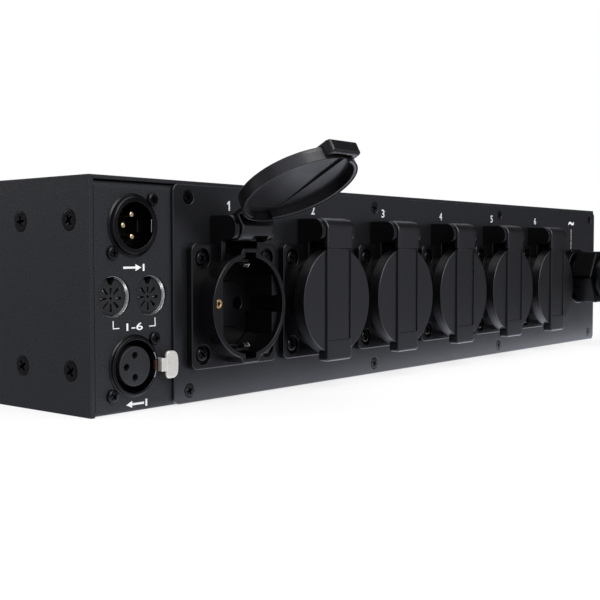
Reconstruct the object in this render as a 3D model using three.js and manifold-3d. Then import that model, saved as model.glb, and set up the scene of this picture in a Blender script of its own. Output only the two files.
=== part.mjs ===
// Six-channel 19-inch dimmer pack, two rack units high, in millimetres.
// +Z is up, the rack panel faces -Y, the outlets face +Y, and the origin is the middle of the underside.

import * as THREE from 'three';
import { mergeVertices } from 'three/addons/utils/BufferGeometryUtils.js';
import Module from 'manifold-3d';

const wasm = await Module();
wasm.setup();

// Overall sizes: the width follows from what stands side by side on the rear wall
const outletCount = 6;
const outletFlange = 50;
const outletSpacing = 5;
const controlBay = 39.4;
const firstOutletInset = 6.9;
const glandBay = 63.7;
const outletRow = outletCount * outletFlange + (outletCount - 1) * outletSpacing;
const bodyWidth = controlBay + firstOutletInset + outletRow + glandBay;
const bodyDepth = 330;
const bodyHeight = 88;
const rackEar = 23.8;
const rackWidth = bodyWidth + 2 * rackEar;

// Sheets and plates
const sheet = 1.5;
const sidePlate = 2;
const facePlate = 3;
const outletPlate = 1.5;
const circuitBoard = 1.6;
const bendRadius = 3;
const topFlange = 12;
const plateCorner = 3;
const plateMargin = 0.5;
const wallWindowInset = 8;
const wallWindowReach = 25.8;

// Clearances
const seatGap = 0.1;
const fitGap = 0.3;
const overrun = 1;

// Steps round a full circle
const fineSteps = 20;
const mediumSteps = 12;
const coarseSteps = 8;

// Countersunk screws: the heads lie flush in these cones
const sideScrewHead = 4.2;
const sideScrewHole = 2.2;
const sideScrewInset = 11.8;
const sideScrewSpacing = 29.5;
const sideScrewLow = 16.4;
const sideScrewBelowTop = 16.3;
const sideScrewHigh = bodyHeight - sideScrewBelowTop;
const plateScrewHead = 2.9;
const plateScrewHole = 1.6;
const plateScrewInset = 8.3;
const plateScrewEdge = 5;
const plateScrewColumns = 4;

// Vent slots
const ventWidth = 4;
const ventLength = 44;
const ventPitch = 14;
const sideVents = 6;
const coverVents = 8;
const sideVentStart = 60;

// Outlet housing, seen along its own axis
const outletDrop = 5.5;
const outletHeight = bodyHeight / 2 - outletDrop;
const flangeThick = 3;
const flangeScrewReach = 19;
const counterboreRadius = 4;
const counterboreDepth = 1.7;
const collarRadius = 21.7;
const wellRadius = 19.6;
const collarRise = 8.4;
const wellTail = 7;
const keyWidth = 5.6;
const keyReach = 21.4;
const keyWall = 1.8;
const keySlant = 1.6;

// Hinge hood of an outlet
const hingeAboveFlange = 6.3;
const hingeOut = 6.1;
const hoodInside = 18.8;
const hoodWall = 2.35;
const cheekRadius = 5;
const hoodBack = 2.8;
const legRise = 3.3;
const legDrop = 8.3;
const hingePinRadius = 1.6;
const hingePinReach = 1.6;

// Flap lid
const lidRadius = 23.8;
const lidSkirtWall = 1.5;
const lidSkirtLength = 3.4;
const lidPlate = 1.8;
const bandWidth = 17.2;
const bandRise = 1;
const bandOverhang = 1.5;
const bandCorner = 2;
const bandRecessWidth = 13;
const bandRecessDepth = 0.7;
const bandRecessTop = 23.2;
const bandRecessBottom = 17.5;
const channelDepth = 0.7;
const tabWrap = 4.2;
const tabWall = 1.4;
const barrelRadius = 5.2;
const barrelNotchWidth = 5;
const barrelNotchDepth = 1.6;
const openAngle = THREE.MathUtils.degToRad(118);

// Contact block at the bottom of the well
const wellDepth = 17.5;
const blockShoulder = 2.6;
const blockTail = 26;
const blockTailWidth = 30;
const blockTailHeight = 24;
const ribInside = 15;
const ribBelowRim = 2;
const ribGap = 7;
const poleReach = 9.5;
const poleRadius = 2.6;
const poleDepth = 14;
const earthPadWidth = 8;
const earthPadThick = 1.9;
const earthPadBelowRim = 5;

// Round connectors in the control bay, measured from the corner and the underside
const connectorAcross = 20.2;
const connectorPlateWidth = 26;
const connectorPlateThick = 2;
const connectorPlateCorner = 2;
const connectorTail = 20;
const inputBarrel = 11.1;
const inputBore = 8.6;
const inputRise = 2.3;
const inputFloor = 12;
const pinRadius = 1.2;
const pinCircle = 4.15;
const pinTail = 2;
const inputKeyWidth = 5;
const inputKeyDepth = 1;
const inputKeyLength = 9;
const outputBarrel = 11.2;
const outputBore = 10;
const outputRise = 1.6;
const outputInsert = 7.6;
const outputInsertRise = 1;
const socketHole = 1.3;
const socketDepth = 10;
const pinAngles = [90, 180, 270];

// Latch tab of the output connector
const latchThick = 1.2;
const latchStemWidth = 9.6;
const latchStemDepth = 12;
const latchTravel = 1.5;
const latchStand = latchTravel + seatGap;
const latchNeckWidth = 4.9;
const latchHeadWidth = 11;
const latchHeadLength = 6.2;
const latchHeadCorner = 2.4;
const latchNeckOverRim = 0.6;

// Eight-pole round sockets
const dinAcross = [11.2, 29.3];
const dinDrop = 0.35;
const dinHeight = bodyHeight / 2 - dinDrop;
const dinHole = 7.75;
const dinShell = 7.45;
const dinShellWall = 0.55;
const dinShellLength = 9;
const dinSink = 0.2;
const dinFaceSink = 2.2;
const dinPoles = 8;
const dinSlotLength = 2.4;
const dinSlotWidth = 0.9;
const dinSlotInner = 2.2;
const dinSlotDepth = 4;
const dinKeyWidth = 2.4;
const dinKeyDepth = 1.2;
const dinBlockWidth = 14.2;
const dinBlockHeight = 17;

// The plates of the round connectors take the height that the sockets between them leave
const connectorPlateGap = 5.3;
const connectorPlateFoot = 3.9;
const connectorPlateTop = 4.5;
const connectorPlateHeight = dinHeight - dinShell - connectorPlateGap - connectorPlateFoot;
const outputHeight = connectorPlateFoot + connectorPlateHeight / 2;
const inputHeight = bodyHeight - connectorPlateTop - connectorPlateHeight / 2;

// Input board behind the control bay
const inputBoardDepth = 22.4;
const inputBoardLeft = 4.5;
const inputBoardRight = 37.5;
const inputBoardLow = 5;
const inputBoardBelowTop = 6;
const inputBoardHigh = bodyHeight - inputBoardBelowTop;

// Cable gland
const glandDrop = 0.1;
const glandHeight = bodyHeight / 2 - glandDrop;
const glandFromEnd = 38.7;
const glandThread = 12;
const glandBore = 7.5;
const glandFlangeRadius = 17.6;
const glandFlangeThick = 6;
const glandChamfer = 1.2;
const glandNeckRadius = 12.6;
const glandNeckLength = 12;
const glandNutFlats = 31;
const glandNutStart = 2.4;
const glandNutLength = 13.5;
const glandDomeLength = 8;
const glandDomeRadius = 13.6;
const glandMouthRadius = 10.4;
const lockNutFlats = 30;
const lockNutThick = 5;

// Front: breakers
const breakerCount = 6;
const breakerWidth = 17.5;
const breakerPitch = 18;
const breakerRowInset = 112.5;
const breakerRowMiddle = breakerRowInset - bodyWidth / 2;
const breakerMargin = 5;
const breakerHeight = bodyHeight - 2 * breakerMargin;
const breakerNoseHeight = 45;
const breakerRear = 56;
const breakerShoulder = 10;
const breakerNoseRise = 1.5;
const toggleWidth = 5.5;
const toggleHub = 5;
const toggleArm = 15;
const toggleTip = 2.2;
const toggleSink = 6;
const toggleAngle = THREE.MathUtils.degToRad(30);
const toggleSlotHeight = 20;

// Front: display and menu buttons
const panelMiddle = bodyHeight / 2;
const displayInset = 122.5;
const displayMiddle = bodyWidth / 2 - displayInset;
const displayAboveMiddle = 12;
const displayHeight = panelMiddle + displayAboveMiddle;
const displayWide = 60;
const displayTall = 22;
const displayThick = 2.6;
const buttonCount = 4;
const buttonPitch = 18;
const buttonBelowMiddle = 17;
const buttonHeight = panelMiddle - buttonBelowMiddle;
const buttonRadius = 4.5;
const buttonRise = 1.8;
const buttonFlange = 5.8;
const buttonFlangeThick = 1.6;
const buttonStem = 2;
const buttonTravel = 1.2;
const buttonStemLength = 5.4;
const switchWidth = 6;
const boardBehindPanel = 12.5;
const boardWidth = 130;
const boardLow = 12;
const boardHigh = bodyHeight - boardLow;
const boardPost = 2.5;
const boardPostInset = 6;
const windowMargin = 4;

// Rack slots
const slotMargin = 5.9;
const slotSpacing = bodyHeight - 2 * slotMargin;
const slotFromEdge = 8.75;
const slotWidth = 10;
const slotHeight = 6.8;

// Inside: rail, power board, heat sink and terminals
const railHeight = 35;
const railDepth = 7.5;
const railLip = 4;
const railSheet = 1;
const railFoot = 14;
const railFootReach = 40;
const powerBoardInset = 92.5;
const powerBoardWidth = bodyWidth - 2 * powerBoardInset;
const powerBoardDepth = 130;
const powerBoardLift = 6;
const powerBoardMiddle = -20;
const postRadius = 3;
const chokeRadius = 16;
const chokeBore = 6;
const chokeHeight = 15;
const chokePitch = powerBoardWidth / (outletCount + 0.25);
const chokeSetback = 30;
const triacWidth = 15;
const triacThick = 5;
const triacTall = 20;
const sinkWidth = powerBoardWidth;
const sinkBase = 4;
const sinkBelowTop = 22;
const sinkTall = bodyHeight - sinkBelowTop;
const sinkFins = 7;
const sinkFinLength = 26;
const sinkFinThick = 2.4;
const terminalWidth = 60;
const terminalDepth = 24;
const terminalTall = 24;
const terminalPoles = 5;
const terminalHole = 3;
const terminalHoleDepth = 9;
const terminalFromWall = 70;

// Planes that several pieces share, measured outwards from the rear wall and from the front wall
const plateFront = seatGap + outletPlate;
const flangeBack = plateFront + seatGap;
const flangeFront = flangeBack + flangeThick;
const rim = flangeFront + collarRise;
const wellFloor = rim - wellDepth;
const hingeHeight = outletFlange / 2 + hingeAboveFlange;
const hingeForward = flangeFront + hingeOut;
const wallInside = -sheet - seatGap;
const coverUnderside = bodyHeight - sheet;
const trayTop = coverUnderside - seatGap;
const trayHalf = bodyWidth / 2 - sidePlate - seatGap;
const floorTop = sheet + seatGap;
const panelBack = seatGap;
const panelFront = panelBack + facePlate;
const wellHole = collarRadius + fitGap;

// Finishes
const finishes = {
  coat: { color: 0x2b2c2e, roughness: 0.62, metalness: 0.1 },
  plastic: { color: 0x1f2022, roughness: 0.5, metalness: 0 },
  silver: { color: 0xc9c8c4, roughness: 0.3, metalness: 1 },
  alloy: { color: 0x9da0a3, roughness: 0.45, metalness: 1 },
  board: { color: 0x1f5a34, roughness: 0.5, metalness: 0 },
  pale: { color: 0xd8d8d2, roughness: 0.55, metalness: 0 },
  smoked: { color: 0x1a0a0a, roughness: 0.15, metalness: 0 },
};

// Solids from three.js geometry, and back

function solidOf(geometry) {
  const plain = geometry.clone();
  plain.deleteAttribute('normal');
  plain.deleteAttribute('uv');
  const merged = mergeVertices(plain);
  const triangles = [];
  const index = merged.index.array;
  for (let i = 0; i < index.length; i += 3) {
    const [a, b, c] = [index[i], index[i + 1], index[i + 2]];
    if (a !== b && b !== c && c !== a) triangles.push(a, b, c);
  }
  return new wasm.Manifold(new wasm.Mesh({
    numProp: 3,
    vertProperties: new Float32Array(merged.attributes.position.array),
    triVerts: new Uint32Array(triangles),
  }));
}

function geometryOf(solid) {
  const mesh = solid.getMesh();
  const geometry = new THREE.BufferGeometry();
  geometry.setAttribute('position', new THREE.BufferAttribute(new Float32Array(mesh.vertProperties), 3));
  geometry.setIndex(new THREE.BufferAttribute(new Uint32Array(mesh.triVerts), 1));
  geometry.computeVertexNormals();
  return geometry;
}

function join(...solids) {
  return solids.reduce((whole, next) => whole.add(next));
}

function cut(base, ...tools) {
  return tools.reduce((left, tool) => left.subtract(tool), base);
}

function box(x0, x1, y0, y1, z0, z1) {
  const geometry = new THREE.BoxGeometry(x1 - x0, y1 - y0, z1 - z0);
  return solidOf(geometry.translate((x0 + x1) / 2, (y0 + y1) / 2, (z0 + z1) / 2));
}

// A cylinder or a cone along Z, from one level to the other
function rod(x, y, z0, z1, radius, steps = coarseSteps, endRadius = radius) {
  const geometry = new THREE.CylinderGeometry(endRadius, radius, z1 - z0, steps);
  return solidOf(geometry.rotateX(Math.PI / 2).translate(x, y, (z0 + z1) / 2));
}

// A round tool whose flats keep the radius, so that what passes through has its full clearance
function bore(x, y, z0, z1, radius, steps = coarseSteps) {
  return rod(x, y, z0, z1, radius / Math.cos(Math.PI / steps), steps);
}

// A cylinder along X
function rodAcross(x0, x1, y, z, radius, steps = coarseSteps) {
  const geometry = new THREE.CylinderGeometry(radius, radius, x1 - x0, steps);
  return solidOf(geometry.rotateZ(Math.PI / 2).translate((x0 + x1) / 2, y, z));
}

// A profile of radius and level turned about the Z axis
function turned(profile, steps = fineSteps) {
  const points = profile.map(([radius, level]) => new THREE.Vector2(radius, level));
  return solidOf(new THREE.LatheGeometry(points, steps).rotateX(Math.PI / 2));
}

function ring(outer, inner, z0, z1, steps = fineSteps) {
  return turned([[inner, z0], [outer, z0], [outer, z1], [inner, z1], [inner, z0]], steps);
}

function extruded(shape, z0, z1, arcSteps = 1) {
  const geometry = new THREE.ExtrudeGeometry(shape, {
    depth: z1 - z0,
    bevelEnabled: false,
    curveSegments: arcSteps,
  });
  return solidOf(geometry.translate(0, 0, z0));
}

// An outline drawn with its x outwards (Z) and its y upwards (Y), run along X
function extrudedAcross(shape, x0, x1, arcSteps = 1) {
  const geometry = new THREE.ExtrudeGeometry(shape, {
    depth: x1 - x0,
    bevelEnabled: false,
    curveSegments: arcSteps,
  });
  return solidOf(geometry.translate(0, 0, -x1).rotateY(-Math.PI / 2));
}

function roundedRectangle(x0, x1, y0, y1, radius) {
  const shape = new THREE.Shape();
  shape.moveTo(x0 + radius, y0);
  shape.lineTo(x1 - radius, y0);
  shape.absarc(x1 - radius, y0 + radius, radius, -Math.PI / 2, 0, false);
  shape.lineTo(x1, y1 - radius);
  shape.absarc(x1 - radius, y1 - radius, radius, 0, Math.PI / 2, false);
  shape.lineTo(x0 + radius, y1);
  shape.absarc(x0 + radius, y1 - radius, radius, Math.PI / 2, Math.PI, false);
  shape.lineTo(x0, y0 + radius);
  shape.absarc(x0 + radius, y0 + radius, radius, Math.PI, 1.5 * Math.PI, false);
  return shape;
}

function polygon(points) {
  return new THREE.Shape(points.map(([x, y]) => new THREE.Vector2(x, y)));
}

function hexagon(flats) {
  const corner = flats / Math.sqrt(3);
  const turns = [0, 1, 2, 3, 4, 5].map((step) => (step * Math.PI) / 3);
  return polygon(turns.map((turn) => [corner * Math.cos(turn), corner * Math.sin(turn)]));
}

// A solid moved or turned as a whole, the turn about the origin first
function moved(solid, [x, y, z], turn = new THREE.Euler()) {
  const geometry = geometryOf(solid).applyMatrix4(new THREE.Matrix4().makeRotationFromEuler(turn));
  return solidOf(geometry.translate(x, y, z));
}

function aboutZ(solid, angle) {
  return moved(solid, [0, 0, 0], new THREE.Euler(0, 0, angle));
}

function piece(parent, name, finish, solid, x = 0, y = 0, z = 0) {
  const mesh = new THREE.Mesh(geometryOf(solid), new THREE.MeshStandardMaterial(finishes[finish]));
  mesh.name = name;
  mesh.position.set(x, y, z);
  parent.add(mesh);
  return mesh;
}

// Frames: x runs to the viewer's right, y up and z out of the wall that is looked at

const pack = new THREE.Group();
const rear = new THREE.Group();
rear.position.set(bodyWidth / 2, bodyDepth / 2, 0);
rear.rotation.set(Math.PI / 2, Math.PI, 0);
const front = new THREE.Group();
front.position.set(0, -bodyDepth / 2, 0);
front.rotation.set(Math.PI / 2, 0, 0);
pack.add(rear, front);
pack.updateMatrixWorld(true);

// A tool drawn in a frame, moved to the pack's own axes
function inPack(frame, solid) {
  return solidOf(geometryOf(solid).applyMatrix4(frame.matrixWorld));
}

const outletCentres = Array.from({ length: outletCount }, (unused, index) => (
  controlBay + firstOutletInset + outletFlange / 2 + index * (outletFlange + outletSpacing)
));
const glandCentre = bodyWidth - glandFromEnd;
const breakerCentres = Array.from({ length: breakerCount }, (unused, index) => (
  breakerRowMiddle + (index - (breakerCount - 1) / 2) * breakerPitch
));
const buttonCentres = Array.from({ length: buttonCount }, (unused, index) => (
  displayMiddle + (index - (buttonCount - 1) / 2) * buttonPitch
));

// Openings that more than one sheet shares, in the rear frame

function latchOpening(z0, z1) {
  const outer = outputBarrel + 2 * fitGap + latchThick;
  const half = latchStemWidth / 2 + fitGap;
  return box(connectorAcross, connectorAcross + outer, outputHeight - half, outputHeight + half, z0, z1);
}

function rearOpenings() {
  const [z0, z1] = [-sheet - overrun, overrun];
  return [
    box(
      controlBay + wallWindowInset, bodyWidth - wallWindowInset,
      outletHeight - wallWindowReach, outletHeight + wallWindowReach,
      z0, z1,
    ),
    bore(connectorAcross, inputHeight, z0, z1, inputBarrel + fitGap, mediumSteps),
    bore(connectorAcross, outputHeight, z0, z1, outputBarrel + fitGap, mediumSteps),
    latchOpening(z0, z1),
    ...dinAcross.map((across) => bore(across, dinHeight, z0, z1, dinHole, mediumSteps)),
  ];
}

const breakerWindow = {
  left: breakerCentres[0] - breakerWidth / 2,
  right: breakerCentres[breakerCount - 1] + breakerWidth / 2,
  low: panelMiddle - breakerNoseHeight / 2,
  high: panelMiddle + breakerNoseHeight / 2,
};

function windowCut(window, margin, z0, z1) {
  return box(window.left - margin, window.right + margin, window.low - margin, window.high + margin, z0, z1);
}

const controlWindow = {
  left: displayMiddle - boardWidth / 2,
  right: displayMiddle + boardWidth / 2,
  low: boardLow,
  high: boardHigh,
};

const breakerOpening = {
  ...breakerWindow,
  low: panelMiddle - breakerHeight / 2,
  high: panelMiddle + breakerHeight / 2,
};

// Tray: one sheet folded up at the front and rear, its top edges turned in, with side walls

function trayOutline() {
  const half = bodyDepth / 2;
  const corners = [[1, 1, 0.5], [1, 0, 0], [-1, 0, -0.5], [-1, 1, -1]];
  const centre = ([side, high]) => [
    side * (half - bendRadius),
    high ? trayTop - bendRadius : bendRadius,
  ];
  const shape = new THREE.Shape();
  shape.moveTo(half - topFlange, trayTop);
  for (const corner of corners) {
    const [x, y] = centre(corner);
    shape.absarc(x, y, bendRadius, corner[2] * Math.PI, (corner[2] - 0.5) * Math.PI, true);
  }
  shape.lineTo(-half + topFlange, trayTop);
  shape.lineTo(-half + topFlange, trayTop - sheet);
  for (const corner of [...corners].reverse()) {
    const [x, y] = centre(corner);
    shape.absarc(x, y, bendRadius - sheet, (corner[2] - 0.5) * Math.PI, corner[2] * Math.PI, false);
  }
  shape.lineTo(half - topFlange, trayTop - sheet);
  return shape;
}

function sideVentCut(x0, x1) {
  const start = -bodyDepth / 2 + sideVentStart;
  const middle = bodyHeight / 2;
  return box(
    x0, x1,
    start - ventWidth, start + (sideVents - 1) * ventPitch + ventWidth,
    middle - ventLength / 2 - ventWidth, middle + ventLength / 2 + ventWidth,
  );
}

function tray() {
  const fold = new THREE.ExtrudeGeometry(trayOutline(), {
    depth: 2 * trayHalf,
    bevelEnabled: false,
    curveSegments: 2,
  });
  const folded = solidOf(fold.translate(0, 0, -trayHalf).applyMatrix4(
    new THREE.Matrix4().makeRotationFromEuler(new THREE.Euler(Math.PI / 2, Math.PI / 2, 0)),
  ));
  const reach = bodyDepth / 2 - bendRadius;
  const wall = (side) => {
    const outside = side * trayHalf;
    const inside = side * (trayHalf - sheet);
    return box(
      Math.min(inside, outside), Math.max(inside, outside),
      -reach, reach,
      sheet / 2, trayTop - sheet - seatGap,
    );
  };
  const frontCuts = [
    windowCut(breakerOpening, fitGap, -sheet - overrun, overrun),
    windowCut(controlWindow, windowMargin, -sheet - overrun, overrun),
  ];
  return cut(
    join(folded, wall(-1), wall(1)),
    ...rearOpenings().map((tool) => inPack(rear, tool)),
    ...frontCuts.map((tool) => inPack(front, tool)),
    sideVentCut(-trayHalf - overrun, -trayHalf + sheet + overrun),
    sideVentCut(trayHalf - sheet - overrun, trayHalf + overrun),
  );
}

// Cover and side panels

function slot(width, length) {
  return roundedRectangle(-length / 2, length / 2, -width / 2, width / 2, width / 2);
}

function cover() {
  const plate = box(-trayHalf, trayHalf, -bodyDepth / 2, bodyDepth / 2, coverUnderside, bodyHeight);
  const vent = extruded(slot(ventWidth, ventLength), coverUnderside - overrun, bodyHeight + overrun);
  const vents = Array.from({ length: coverVents }, (unused, index) => (
    moved(vent, [(index - (coverVents - 1) / 2) * ventPitch, 0, 0], new THREE.Euler(0, 0, Math.PI / 2))
  ));
  return cut(plate, ...vents);
}

// A side panel lies in the Y-Z plane with its outer face at x = 0; side is 1 on the left and -1 on the right
function sidePanel(side) {
  const half = bodyDepth / 2;
  const inner = -side * sidePlate;
  const plate = box(Math.min(0, inner), Math.max(0, inner), -half, half, 0, bodyHeight);
  const fromRear = [sideScrewInset, sideScrewInset + sideScrewSpacing];
  const along = [...fromRear.map((inset) => half - inset), ...fromRear.map((inset) => inset - half)];
  const facingOut = new THREE.Euler(0, (side * Math.PI) / 2, 0);
  const sink = rod(0, 0, -sidePlate - seatGap, seatGap, sideScrewHole, coarseSteps, sideScrewHead);
  const sinks = along.flatMap((y) => (
    [sideScrewLow, sideScrewHigh].map((z) => moved(sink, [0, y, z], facingOut))
  ));
  const start = -half + sideVentStart;
  const vent = extruded(slot(ventWidth, ventLength), -sidePlate - overrun, overrun);
  const vents = Array.from({ length: sideVents }, (unused, index) => (
    moved(vent, [0, start + index * ventPitch, bodyHeight / 2], facingOut)
  ));
  return cut(plate, ...sinks, ...vents);
}

piece(pack, 'base_tray', 'coat', tray());
piece(pack, 'top_cover', 'coat', cover());
piece(pack, 'side_panel_left', 'coat', sidePanel(1), bodyWidth / 2);
piece(pack, 'side_panel_right', 'coat', sidePanel(-1), -bodyWidth / 2);

// Plate behind the outlets

function outletPlateSolid() {
  const right = bodyWidth - sidePlate;
  const outline = roundedRectangle(controlBay, right, plateMargin, coverUnderside, plateCorner);
  const first = controlBay + plateScrewInset;
  const step = (right - plateScrewInset - first) / (plateScrewColumns - 1);
  const columns = Array.from({ length: plateScrewColumns }, (unused, index) => first + index * step);
  const rows = [plateMargin + plateScrewEdge, coverUnderside - plateScrewEdge];
  const sinks = columns.flatMap((x) => rows.map((y) => (
    rod(x, y, -seatGap, plateFront + seatGap, plateScrewHole, coarseSteps, plateScrewHead)
  )));
  const throughWall = [-overrun, plateFront + overrun];
  const holes = outletCentres.map((x) => (
    bore(x, outletHeight, ...throughWall, wellHole, mediumSteps)
  ));
  const glandHole = bore(glandCentre, glandHeight, ...throughWall, glandThread + fitGap, mediumSteps);
  return cut(extruded(outline, seatGap, plateFront), ...sinks, ...holes, glandHole);
}

piece(rear, 'outlet_plate', 'coat', outletPlateSolid());

// Outlet housing: square flange, round collar with its key notches, and the hood of the hinge

function keyBoss() {
  const outer = keyWidth / 2 + keyWall;
  const root = collarRadius - 2 * keyWall;
  return polygon([
    [-outer - keySlant, root],
    [outer + keySlant, root],
    [outer, keyReach + keyWall],
    [-outer, keyReach + keyWall],
  ]);
}

function hoodOutline() {
  const top = hingeHeight + cheekRadius;
  const bottom = hingeHeight - cheekRadius;
  const shape = new THREE.Shape();
  shape.moveTo(flangeBack, outletFlange / 2 - overrun);
  shape.lineTo(flangeBack, top);
  shape.lineTo(hingeForward, top);
  shape.absarc(hingeForward, hingeHeight, cheekRadius, Math.PI / 2, -Math.PI / 2, true);
  shape.lineTo(flangeFront + legRise, bottom);
  shape.lineTo(flangeFront + legRise, bottom - legDrop);
  shape.lineTo(flangeBack + flangeThick / 2, bottom - legDrop);
  shape.lineTo(flangeBack + flangeThick / 2, outletFlange / 2 - overrun);
  return shape;
}

function outletHousing() {
  const half = outletFlange / 2;
  const flange = extruded(roundedRectangle(-half, half, -half, half, plateCorner), flangeBack, flangeFront);
  const boss = extruded(keyBoss(), flangeFront - overrun, rim);
  const cheekInside = hoodInside / 2;
  const cheek = (x0, x1) => extrudedAcross(hoodOutline(), x0, x1, 3);
  const back = box(
    -cheekInside - overrun, cheekInside + overrun,
    half - overrun, hingeHeight + cheekRadius,
    flangeBack, flangeBack + hoodBack,
  );
  const bossReach = keyReach + keyWall;
  const solid = join(
    flange,
    rod(0, 0, -wellTail, rim, collarRadius, fineSteps),
    boss,
    aboutZ(boss, Math.PI),
    cheek(cheekInside, cheekInside + hoodWall),
    cheek(-cheekInside - hoodWall, -cheekInside),
    back,
  );
  const counterbores = [-1, 1].flatMap((x) => [-1, 1].map((y) => rod(
    x * flangeScrewReach, y * flangeScrewReach,
    flangeFront - counterboreDepth, flangeFront + overrun,
    counterboreRadius,
  )));
  const pinHole = hoodInside / 2 + hingePinReach + fitGap;
  return cut(
    solid,
    bore(0, 0, -wellTail - overrun, rim + overrun, wellRadius, fineSteps),
    box(-keyWidth / 2, keyWidth / 2, -keyReach, keyReach, flangeFront, rim + overrun),
    ...counterbores.map((bore) => bore.subtract(rod(0, 0, -wellTail, rim, collarRadius, fineSteps))),
    rodAcross(-pinHole, pinHole, hingeHeight, hingeForward, hingePinRadius + fitGap, coarseSteps)
      .subtract(box(-cheekInside, cheekInside, 0, bossReach, 0, rim)),
  );
}

// Contact block: shoulder behind the well, guide ribs, pole holes and earth pads

function contactBlock() {
  const radius = wellRadius - fitGap;
  const shoulder = -wellTail - fitGap;
  const tail = -blockTail;
  const halfRib = ribGap / 2;
  const ribTop = rim - ribBelowRim;
  const core = rod(0, 0, shoulder, wellFloor, radius, mediumSteps);
  const flange = rod(0, 0, shoulder - blockShoulder, shoulder, collarRadius, mediumSteps);
  const back = box(
    -blockTailWidth / 2, blockTailWidth / 2,
    -blockTailHeight / 2, blockTailHeight / 2,
    tail, shoulder - blockShoulder / 2,
  );
  const full = rod(0, 0, wellFloor - overrun, ribTop, radius, mediumSteps);
  const reach = radius + overrun;
  const ribs = cut(
    full,
    box(-ribInside, ribInside, -reach, reach, wellFloor - 2 * overrun, ribTop + overrun),
    box(-reach, reach, -halfRib, halfRib, wellFloor, ribTop + overrun),
  );
  const padHalf = earthPadWidth / 2;
  const padTop = rim - earthPadBelowRim;
  const pads = rod(0, 0, wellFloor - overrun, padTop, radius, mediumSteps).intersect(join(
    box(-padHalf, padHalf, radius - earthPadThick, reach, wellFloor - 2 * overrun, padTop),
    box(-padHalf, padHalf, -reach, -radius + earthPadThick, wellFloor - 2 * overrun, padTop),
  ));
  const poles = [-poleReach, poleReach].map((x) => (
    rod(x, 0, wellFloor - poleDepth, wellFloor + overrun, poleRadius)
  ));
  return cut(join(core, flange, back, ribs, pads), ...poles);
}

// Flap lid, drawn closed with its hinge axis at the origin: y up, z outwards

function outletLid() {
  const down = -hingeHeight;
  const plateBack = rim + fitGap - hingeForward;
  const plateFace = plateBack + lidPlate;
  const bandFace = plateFace + bandRise;
  const skirtEnd = plateBack - lidSkirtLength;
  const bandBottom = down - lidRadius - bandOverhang;
  const halfBand = bandWidth / 2;
  const channel = bandRecessWidth / 2;
  const disc = rod(0, down, skirtEnd, plateFace, lidRadius, fineSteps);
  const hollow = rod(0, down, skirtEnd - overrun, plateBack, lidRadius - lidSkirtWall, fineSteps);
  const bandShape = roundedRectangle(-halfBand, halfBand, bandBottom, 0, bandCorner);
  const bandEnd = box(
    -halfBand - overrun, halfBand + overrun,
    -bandCorner, overrun,
    plateBack - overrun, bandFace + overrun,
  );
  const band = cut(extruded(bandShape, plateBack, bandFace), bandEnd);
  const neck = box(-halfBand, halfBand, -2 * bandCorner, 0, plateBack, barrelRadius);
  const barrelEnd = hoodInside / 2 - fitGap;
  const barrel = rodAcross(-barrelEnd, barrelEnd, 0, 0, barrelRadius, mediumSteps);
  const pinEnd = hoodInside / 2 + hingePinReach;
  const pin = rodAcross(-pinEnd, pinEnd, 0, 0, hingePinRadius);
  const recess = box(
    -channel, channel,
    down - bandRecessBottom, down + bandRecessTop,
    bandFace - bandRecessDepth, bandFace + overrun,
  );
  const underChannel = box(
    -channel, channel,
    down - lidRadius, -barrelRadius,
    skirtEnd - overrun, plateBack + channelDepth,
  );
  const tab = extruded(
    roundedRectangle(-halfBand, halfBand, bandBottom, bandBottom + 2 * bandCorner, bandCorner),
    bandFace - tabWrap, bandFace,
  ).intersect(box(-halfBand, halfBand, bandBottom, bandBottom + tabWall, bandFace - tabWrap, bandFace));
  const notch = box(
    -barrelNotchWidth / 2, barrelNotchWidth / 2,
    -barrelRadius - overrun, -barrelRadius + barrelNotchDepth,
    -barrelRadius - overrun, 0,
  );
  const shell = cut(join(disc.subtract(hollow), band), recess, underChannel);
  return cut(join(shell, neck, barrel, pin, tab), notch);
}

const housingSolid = outletHousing();
const blockSolid = contactBlock();
const lidSolid = outletLid();
outletCentres.forEach((across, index) => {
  const outlet = new THREE.Group();
  outlet.position.set(across, outletHeight, 0);
  rear.add(outlet);
  const number = index + 1;
  piece(outlet, `outlet_housing_${number}`, 'plastic', housingSolid);
  piece(outlet, `outlet_contact_block_${number}`, 'plastic', blockSolid);
  const lid = piece(outlet, `outlet_lid_${number}`, 'plastic', lidSolid, 0, hingeHeight, hingeForward);
  lid.rotation.x = number === 1 ? -openAngle : 0;
});

// Input and output connectors, clamped behind the rear wall

function connectorPlate() {
  const width = connectorPlateWidth / 2;
  const height = connectorPlateHeight / 2;
  const outline = roundedRectangle(-width, width, -height, height, connectorPlateCorner);
  return extruded(outline, wallInside - connectorPlateThick, wallInside);
}

function pinPlaces(radius) {
  return pinAngles.map((angle) => {
    const turn = THREE.MathUtils.degToRad(angle);
    return [radius * Math.cos(turn), radius * Math.sin(turn)];
  });
}

function inputShell() {
  const keyHalf = inputKeyWidth / 2;
  return cut(
    join(connectorPlate(), rod(0, 0, -connectorTail, inputRise, inputBarrel, fineSteps)),
    bore(0, 0, -connectorTail - overrun, inputRise + overrun, inputBore, mediumSteps),
    box(0, inputBore + inputKeyDepth, -keyHalf, keyHalf, inputRise - inputKeyLength, inputRise - overrun),
  );
}

function inputInsert() {
  const base = rod(0, 0, -inputBoardDepth + seatGap, -inputFloor, inputBore - fitGap, mediumSteps);
  const pins = pinPlaces(pinCircle).map(([x, y]) => rod(x, y, -inputFloor - pinTail, 0, pinRadius));
  return join(base, ...pins);
}

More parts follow.
